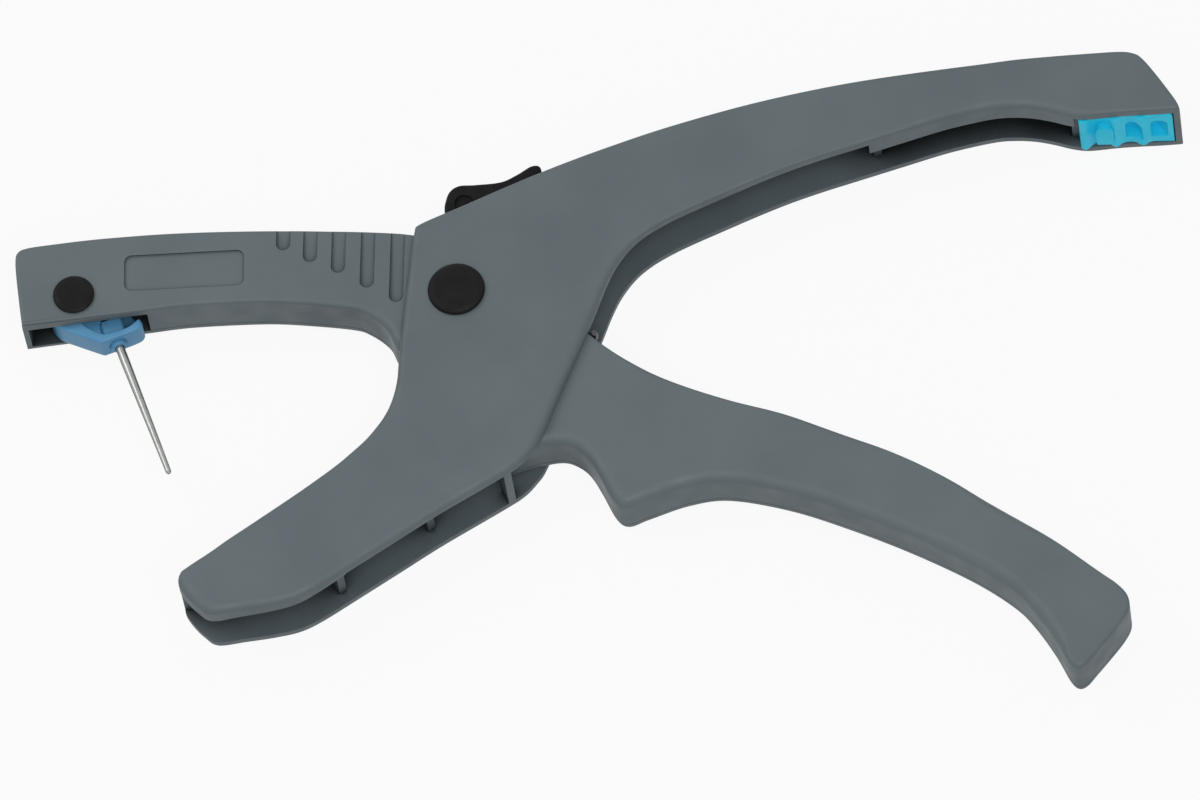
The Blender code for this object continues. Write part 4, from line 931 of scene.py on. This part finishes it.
def tangent(target, radius, side):
    """Where a line from the target touches the coil, in degrees."""
    reach = math.acos(radius / np.linalg.norm(target))
    return math.degrees(math.atan2(target[1], target[0]) + side * reach)


def coil(centre, radius, start, sweep, low, high, steps=48):
    count = int(abs(sweep) / 360.0 * steps)
    points = []
    for i in range(count + 1):
        angle = math.radians(start + sweep * i / count)
        points.append(np.array((
            centre[0] + radius * math.cos(angle), centre[1] + radius * math.sin(angle),
            low + (high - low) * i / count)))
    return points


def rounded_line(points, radius, steps=4):
    """The line with its sharp bends rounded."""
    result = [points[0]]
    for before, here, after in zip(points, points[1:], points[2:]):
        back, ahead = before - here, after - here
        bend = math.degrees(math.acos(np.clip(
            -back @ ahead / np.linalg.norm(back) / np.linalg.norm(ahead), -1, 1)))
        if bend < 20.0:
            result.append(here)
            continue
        reach = min(radius, np.linalg.norm(back) / 2, np.linalg.norm(ahead) / 2)
        start = here + back / np.linalg.norm(back) * reach
        end = here + ahead / np.linalg.norm(ahead) * reach
        for k in range(steps + 1):
            t = k / steps
            result.append((1 - t) ** 2 * start + 2 * t * (1 - t) * here + t ** 2 * end)
    result.append(points[-1])
    return result


def build_springs(spring_steel):
    low = LEVER_INNER_LOW + SPRING_WIRE / 2 + 2 * GAP
    high = LEVER_INNER_HIGH - SPRING_WIRE / 2 - 2 * GAP
    start, along = hub_edge()
    inward = np.array((along[1], -along[0]))
    frame_rest = (start + along * SPRING_FRAME_REST_SHARE * PLAN
                  + inward * (FRAME_WEB + SPRING_WIRE / 2 + SPRING_TIP_GAP))
    lever_rest = place(SPRING_LEVER_REST_SHARES)
    first = tangent(frame_rest, SPRING_RADIUS, -1)
    last = tangent(lever_rest, SPRING_RADIUS, 1) - 360.0 * SPRING_TURNS
    points = [np.array((*frame_rest, low))]
    points += coil((0, 0), SPRING_RADIUS, first, last - first, low, high)
    points += [np.array((*lever_rest, high)), np.array((*lever_rest, LEVER_HIGH - GAP))]
    spring = wire("return_spring_fine", rounded_line(points, SPRING_WIRE), SPRING_WIRE)
    dress(spring, spring_steel, None, ["return_spring"], SOFT_DEGREES)
    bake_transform(spring)

    spot = place(JAW_PIN_SHARES)
    rest = place(CARRIER_SPRING_REST_SHARES) - spot
    low = MIDDLE - SPRING_TURNS * CARRIER_SPRING_PITCH / 2
    high = MIDDLE + SPRING_TURNS * CARRIER_SPRING_PITCH / 2
    first = tangent(rest, CARRIER_SPRING_RADIUS, -1)
    points = [np.array((*(spot + rest), low))]
    points += coil(spot, CARRIER_SPRING_RADIUS, first, -360.0 * SPRING_TURNS - first, low, high)
    floor = (CARRIER_FORK_SHARES[1] - CARRIER_FORK_SHARES[3] / 2) * PLAN
    points.append(np.array((points[-1][0], floor + 2 * GAP, high)))
    small = wire("carrier_spring_fine", points, CARRIER_SPRING_WIRE)
    dress(small, spring_steel, None, ["carrier_spring"], SOFT_DEGREES)
    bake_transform(small)


class Finish:
    """A Principled material whose colour, gloss and grain come from noise in the piece's own space, and
    some carry painted shade in their own recesses.
    """

    def __init__(self, name):
        self.material = bpy.data.materials.new(name)
        self.material.use_nodes = True
        self.tree = self.material.node_tree
        self.shader = self.tree.nodes["Principled BSDF"]
        self.spot = self.tree.nodes.new("ShaderNodeTexCoord").outputs["Object"]

    def node(self, kind, **values):
        made = self.tree.nodes.new(kind)
        for key, value in values.items():
            setattr(made, key, value)
        return made

    def link(self, output, target):
        self.tree.links.new(output, target)

    def stretched(self, degrees, scale):
        mapping = self.node("ShaderNodeMapping")
        mapping.inputs["Rotation"].default_value = (0, 0, math.radians(degrees))
        mapping.inputs["Scale"].default_value = scale
        self.link(self.spot, mapping.inputs["Vector"])
        return mapping.outputs["Vector"]

    def noise(self, scale, detail=3.0, source=None):
        made = self.node("ShaderNodeTexNoise")
        made.inputs["Scale"].default_value = scale
        made.inputs["Detail"].default_value = detail
        self.link(source or self.spot, made.inputs["Vector"])
        return made.outputs["Fac"]

    def spread(self, value, low, high, start=0.35, end=0.65):
        made = self.node("ShaderNodeMapRange")
        for key, number in (("From Min", start), ("From Max", end), ("To Min", low), ("To Max", high)):
            made.inputs[key].default_value = number
        self.link(value, made.inputs["Value"])
        return made.outputs["Result"]

    def colours(self, value, first, second, start=0.35, end=0.65):
        ramp = self.node("ShaderNodeValToRGB")
        ramp.color_ramp.elements[0].position = start
        ramp.color_ramp.elements[0].color = (*first, 1.0)
        ramp.color_ramp.elements[1].position = end
        ramp.color_ramp.elements[1].color = (*second, 1.0)
        self.link(value, ramp.inputs["Fac"])
        return ramp.outputs["Color"]

    def grain(self, value, strength, distance, under=None, edge=0.0):
        bump = self.node("ShaderNodeBump")
        bump.inputs["Strength"].default_value = strength
        bump.inputs["Distance"].default_value = distance
        self.link(value, bump.inputs["Height"])
        if edge:
            bevel = self.node("ShaderNodeBevel", samples=4)
            bevel.inputs["Radius"].default_value = edge
            under = bevel.outputs["Normal"]
        if under:
            self.link(under, bump.inputs["Normal"])
        return bump.outputs["Normal"]

    def with_painted_shade(self, colour, distance, least):
        """The colour with painted shade: darker where the piece's own walls close round a place."""
        mix = self.node("ShaderNodeVectorMath", operation="SCALE")
        self.link(colour, mix.inputs["Vector"])
        self.link(self.painted_shade_value(1.0, distance, least), mix.inputs["Scale"])
        return mix.outputs["Vector"]

    def painted_shade_value(self, value, distance, least):
        # painted shade: the value drops where the piece's own walls close round a place
        near = self.node("ShaderNodeAmbientOcclusion", samples=8, only_local=True)
        near.inputs["Distance"].default_value = distance
        return self.spread(near.outputs["AO"], value * least, value, *RECESS_SPAN)

    def set(self, **values):
        for key, value in values.items():
            socket = self.shader.inputs[key.replace("_", " ")]
            if isinstance(value, bpy.types.NodeSocket):
                self.link(value, socket)
            else:
                socket.default_value = value
        return self.material


def nylon(name, base, pale):
    f = Finish(name)
    fine = f.grain(f.noise(2600.0, 2.0), 0.22, 0.03 * MM, edge=0.25 * MM)
    return f.set(
        # painted shade: the colour and the gloss are darker in the piece's own channels and recesses
        Base_Color=f.with_painted_shade(f.colours(f.noise(45.0, 4.0), base, pale), RECESS, RECESS_SHARE),
        Roughness=f.spread(f.noise(160.0), 0.46, 0.60),
        Specular_IOR_Level=f.painted_shade_value(0.35, RECESS, RECESS_SHARE),
        Normal=f.grain(f.noise(420.0, 2.0), 0.10, 0.03 * MM, under=fine))


def black_plastic():
    f = Finish("black plastic")
    fine = f.grain(f.noise(2200.0, 2.0), 0.25, 0.03 * MM, edge=0.2 * MM)
    return f.set(
        Base_Color=f.colours(f.noise(260.0, 5.0), *BLACK),
        Roughness=f.spread(f.noise(300.0), 0.40, 0.55),
        Specular_IOR_Level=0.10,
        Normal=fine)


def blue_coat():
    f = Finish("blue coat")
    fine = f.grain(f.noise(1800.0, 2.0), 0.18, 0.02 * MM, edge=0.3 * MM)
    return f.set(
        Base_Color=f.colours(f.noise(150.0, 3.0), *BLUE),
        Roughness=f.spread(f.noise(240.0), 0.34, 0.46),
        Specular_IOR_Level=0.30,
        Normal=fine)


def brushed(name, pair, low, high, degrees, scale, strength=0.12, tint=1.0):
    f = Finish(name)
    lines = f.noise(1.0, 3.0, f.stretched(degrees, scale))
    return f.set(
        Base_Color=f.colours(lines, *pair),
        Metallic=1.0,
        Specular_Tint=(tint, tint, tint, 1.0),
        Roughness=f.spread(lines, low, high),
        Normal=f.grain(lines, strength, 0.01 * MM, edge=0.1 * MM))


def soft_cyan():
    f = Finish("soft cyan")
    fine = f.grain(f.noise(1500.0, 2.0), 0.15, 0.03 * MM, edge=0.35 * MM)
    return f.set(
        Base_Color=f.colours(f.noise(130.0, 3.0), *CYAN),
        Roughness=f.spread(f.noise(220.0), 0.40, 0.52),
        Specular_IOR_Level=0.30,
        Subsurface_Weight=0.5, Subsurface_Scale=2.0 * MM,
        # painted glow: a little cyan light of the insert's own, which brightens it
        Emission_Color=CYAN_PAINTED_GLOW, Emission_Strength=0.14,
        Normal=fine)


def white_for_rays(tree):
    """One where a camera, glossy or transmission ray looks."""
    path = tree.nodes.new("ShaderNodeLightPath")
    value = path.outputs["Is Camera Ray"]
    for name in ("Is Glossy Ray", "Is Transmission Ray"):
        larger = tree.nodes.new("ShaderNodeMath")
        larger.operation = "MAXIMUM"
        tree.links.new(value, larger.inputs[0])
        tree.links.new(path.outputs[name], larger.inputs[1])
        value = larger.outputs["Value"]
    return value


def build_stage():
    scene = bpy.context.scene
    scene.view_settings.view_transform = "Standard"
    world = bpy.data.worlds.new("studio")
    scene.world = world
    world.use_nodes = True
    tree = world.node_tree
    room = tree.nodes["Background"]
    room.inputs["Color"].default_value = ROOM_COLOUR
    room.inputs["Strength"].default_value = ROOM
    white = tree.nodes.new("ShaderNodeBackground")
    mix = tree.nodes.new("ShaderNodeMixShader")
    tree.links.new(white_for_rays(tree), mix.inputs["Fac"])
    tree.links.new(room.outputs["Background"], mix.inputs[1])
    tree.links.new(white.outputs["Background"], mix.inputs[2])
    white.inputs["Color"].default_value = WHITE
    tree.links.new(mix.outputs["Shader"], tree.nodes["World Output"].inputs["Surface"])

    shape = bmesh.new()
    bmesh.ops.create_grid(shape, x_segments=1, y_segments=1, size=FLOOR)
    floor = new_object("floor", shape)
    material = bpy.data.materials.new("floor white")
    material.use_nodes = True
    tree = material.node_tree
    tree.nodes.remove(tree.nodes["Principled BSDF"])
    matte = tree.nodes.new("ShaderNodeBsdfDiffuse")
    matte.inputs["Color"].default_value = FLOOR_GREY
    glow = tree.nodes.new("ShaderNodeEmission")
    share = tree.nodes.new("ShaderNodeMath")
    share.operation = "MULTIPLY"
    share.inputs[1].default_value = FLOOR_WHITE
    mix = tree.nodes.new("ShaderNodeMixShader")
    tree.links.new(white_for_rays(tree), share.inputs[0])
    tree.links.new(share.outputs["Value"], mix.inputs["Fac"])
    tree.links.new(matte.outputs["BSDF"], mix.inputs[1])
    tree.links.new(glow.outputs["Emission"], mix.inputs[2])
    tree.links.new(mix.outputs["Shader"], tree.nodes["Material Output"].inputs["Surface"])
    floor.data.materials.append(material)

    for name, spot, size, power in LAMPS:
        light = bpy.data.lights.new(name, "AREA")
        light.shape = "DISK"
        light.size = size
        light.energy = power
        lamp = bpy.data.objects.new(name, light)
        scene.collection.objects.link(lamp)
        lamp.location = spot
        lamp.rotation_euler = (-Vector(spot)).to_track_quat("-Z", "Y").to_euler()


def build_camera():
    back = VIEW_BACK.normalized()
    right = (VIEW_RIGHT - VIEW_RIGHT.dot(back) * back).normalized()
    up = back.cross(right)
    data = bpy.data.cameras.new("camera")
    data.lens = LENS
    data.sensor_width = SENSOR
    data.clip_start, data.clip_end = CAMERA_CLIP
    camera = bpy.data.objects.new("camera", data)
    bpy.context.scene.collection.objects.link(camera)
    aim = VIEW_CENTRE + right * VIEW_SHIFT[0] + up * VIEW_SHIFT[1]
    turn = Matrix((right, up, back)).transposed().to_4x4()
    camera.matrix_world = Matrix.Translation(aim + back * VIEW_WIDTH * LENS / SENSOR) @ turn
    bpy.context.scene.camera = camera


def corners(box):
    return [[round(float(v), 6) for v in corner] for corner in box]


def main():
    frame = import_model()
    grey = nylon("grey nylon", *FRAME_GREY)
    grey_lever = nylon("grey nylon lever", *LEVER_GREY)
    black = black_plastic()
    blue = blue_coat()
    needle_steel = brushed("needle steel", NEEDLE_STEEL, 0.30, 0.36, NEEDLE_DEGREES,
                           (40.0, 900.0, 900.0), 0.01, 0.10)
    steel = brushed("steel", STEEL, 0.26, 0.42, 0.0, (300.0, 2400.0, 300.0))
    spring_steel = brushed("spring steel", SPRING_STEEL, 0.30, 0.45, 30.0, (500.0, 1800.0, 500.0))
    bronze = brushed("bronze", BRONZE, 0.30, 0.46, 60.0, (300.0, 2000.0, 300.0))
    cyan = soft_cyan()
    for name, material in CARRIED:
        node = frame["nodes"][name]
        node.data.materials.clear()
        node.data.materials.append({"steel": steel, "bronze": bronze}[material])
        node.data.shade_smooth()
        node.data.set_sharp_from_angle(angle=math.radians(METAL_DEGREES))
    build_frame(grey)
    build_lever(grey_lever)
    build_caps(black, steel)
    build_needle(needle_steel, blue)
    build_carrier(blue)
    build_latch(black)
    build_insert(cyan)
    build_springs(spring_steel)
    build_stage()
    build_camera()


main()
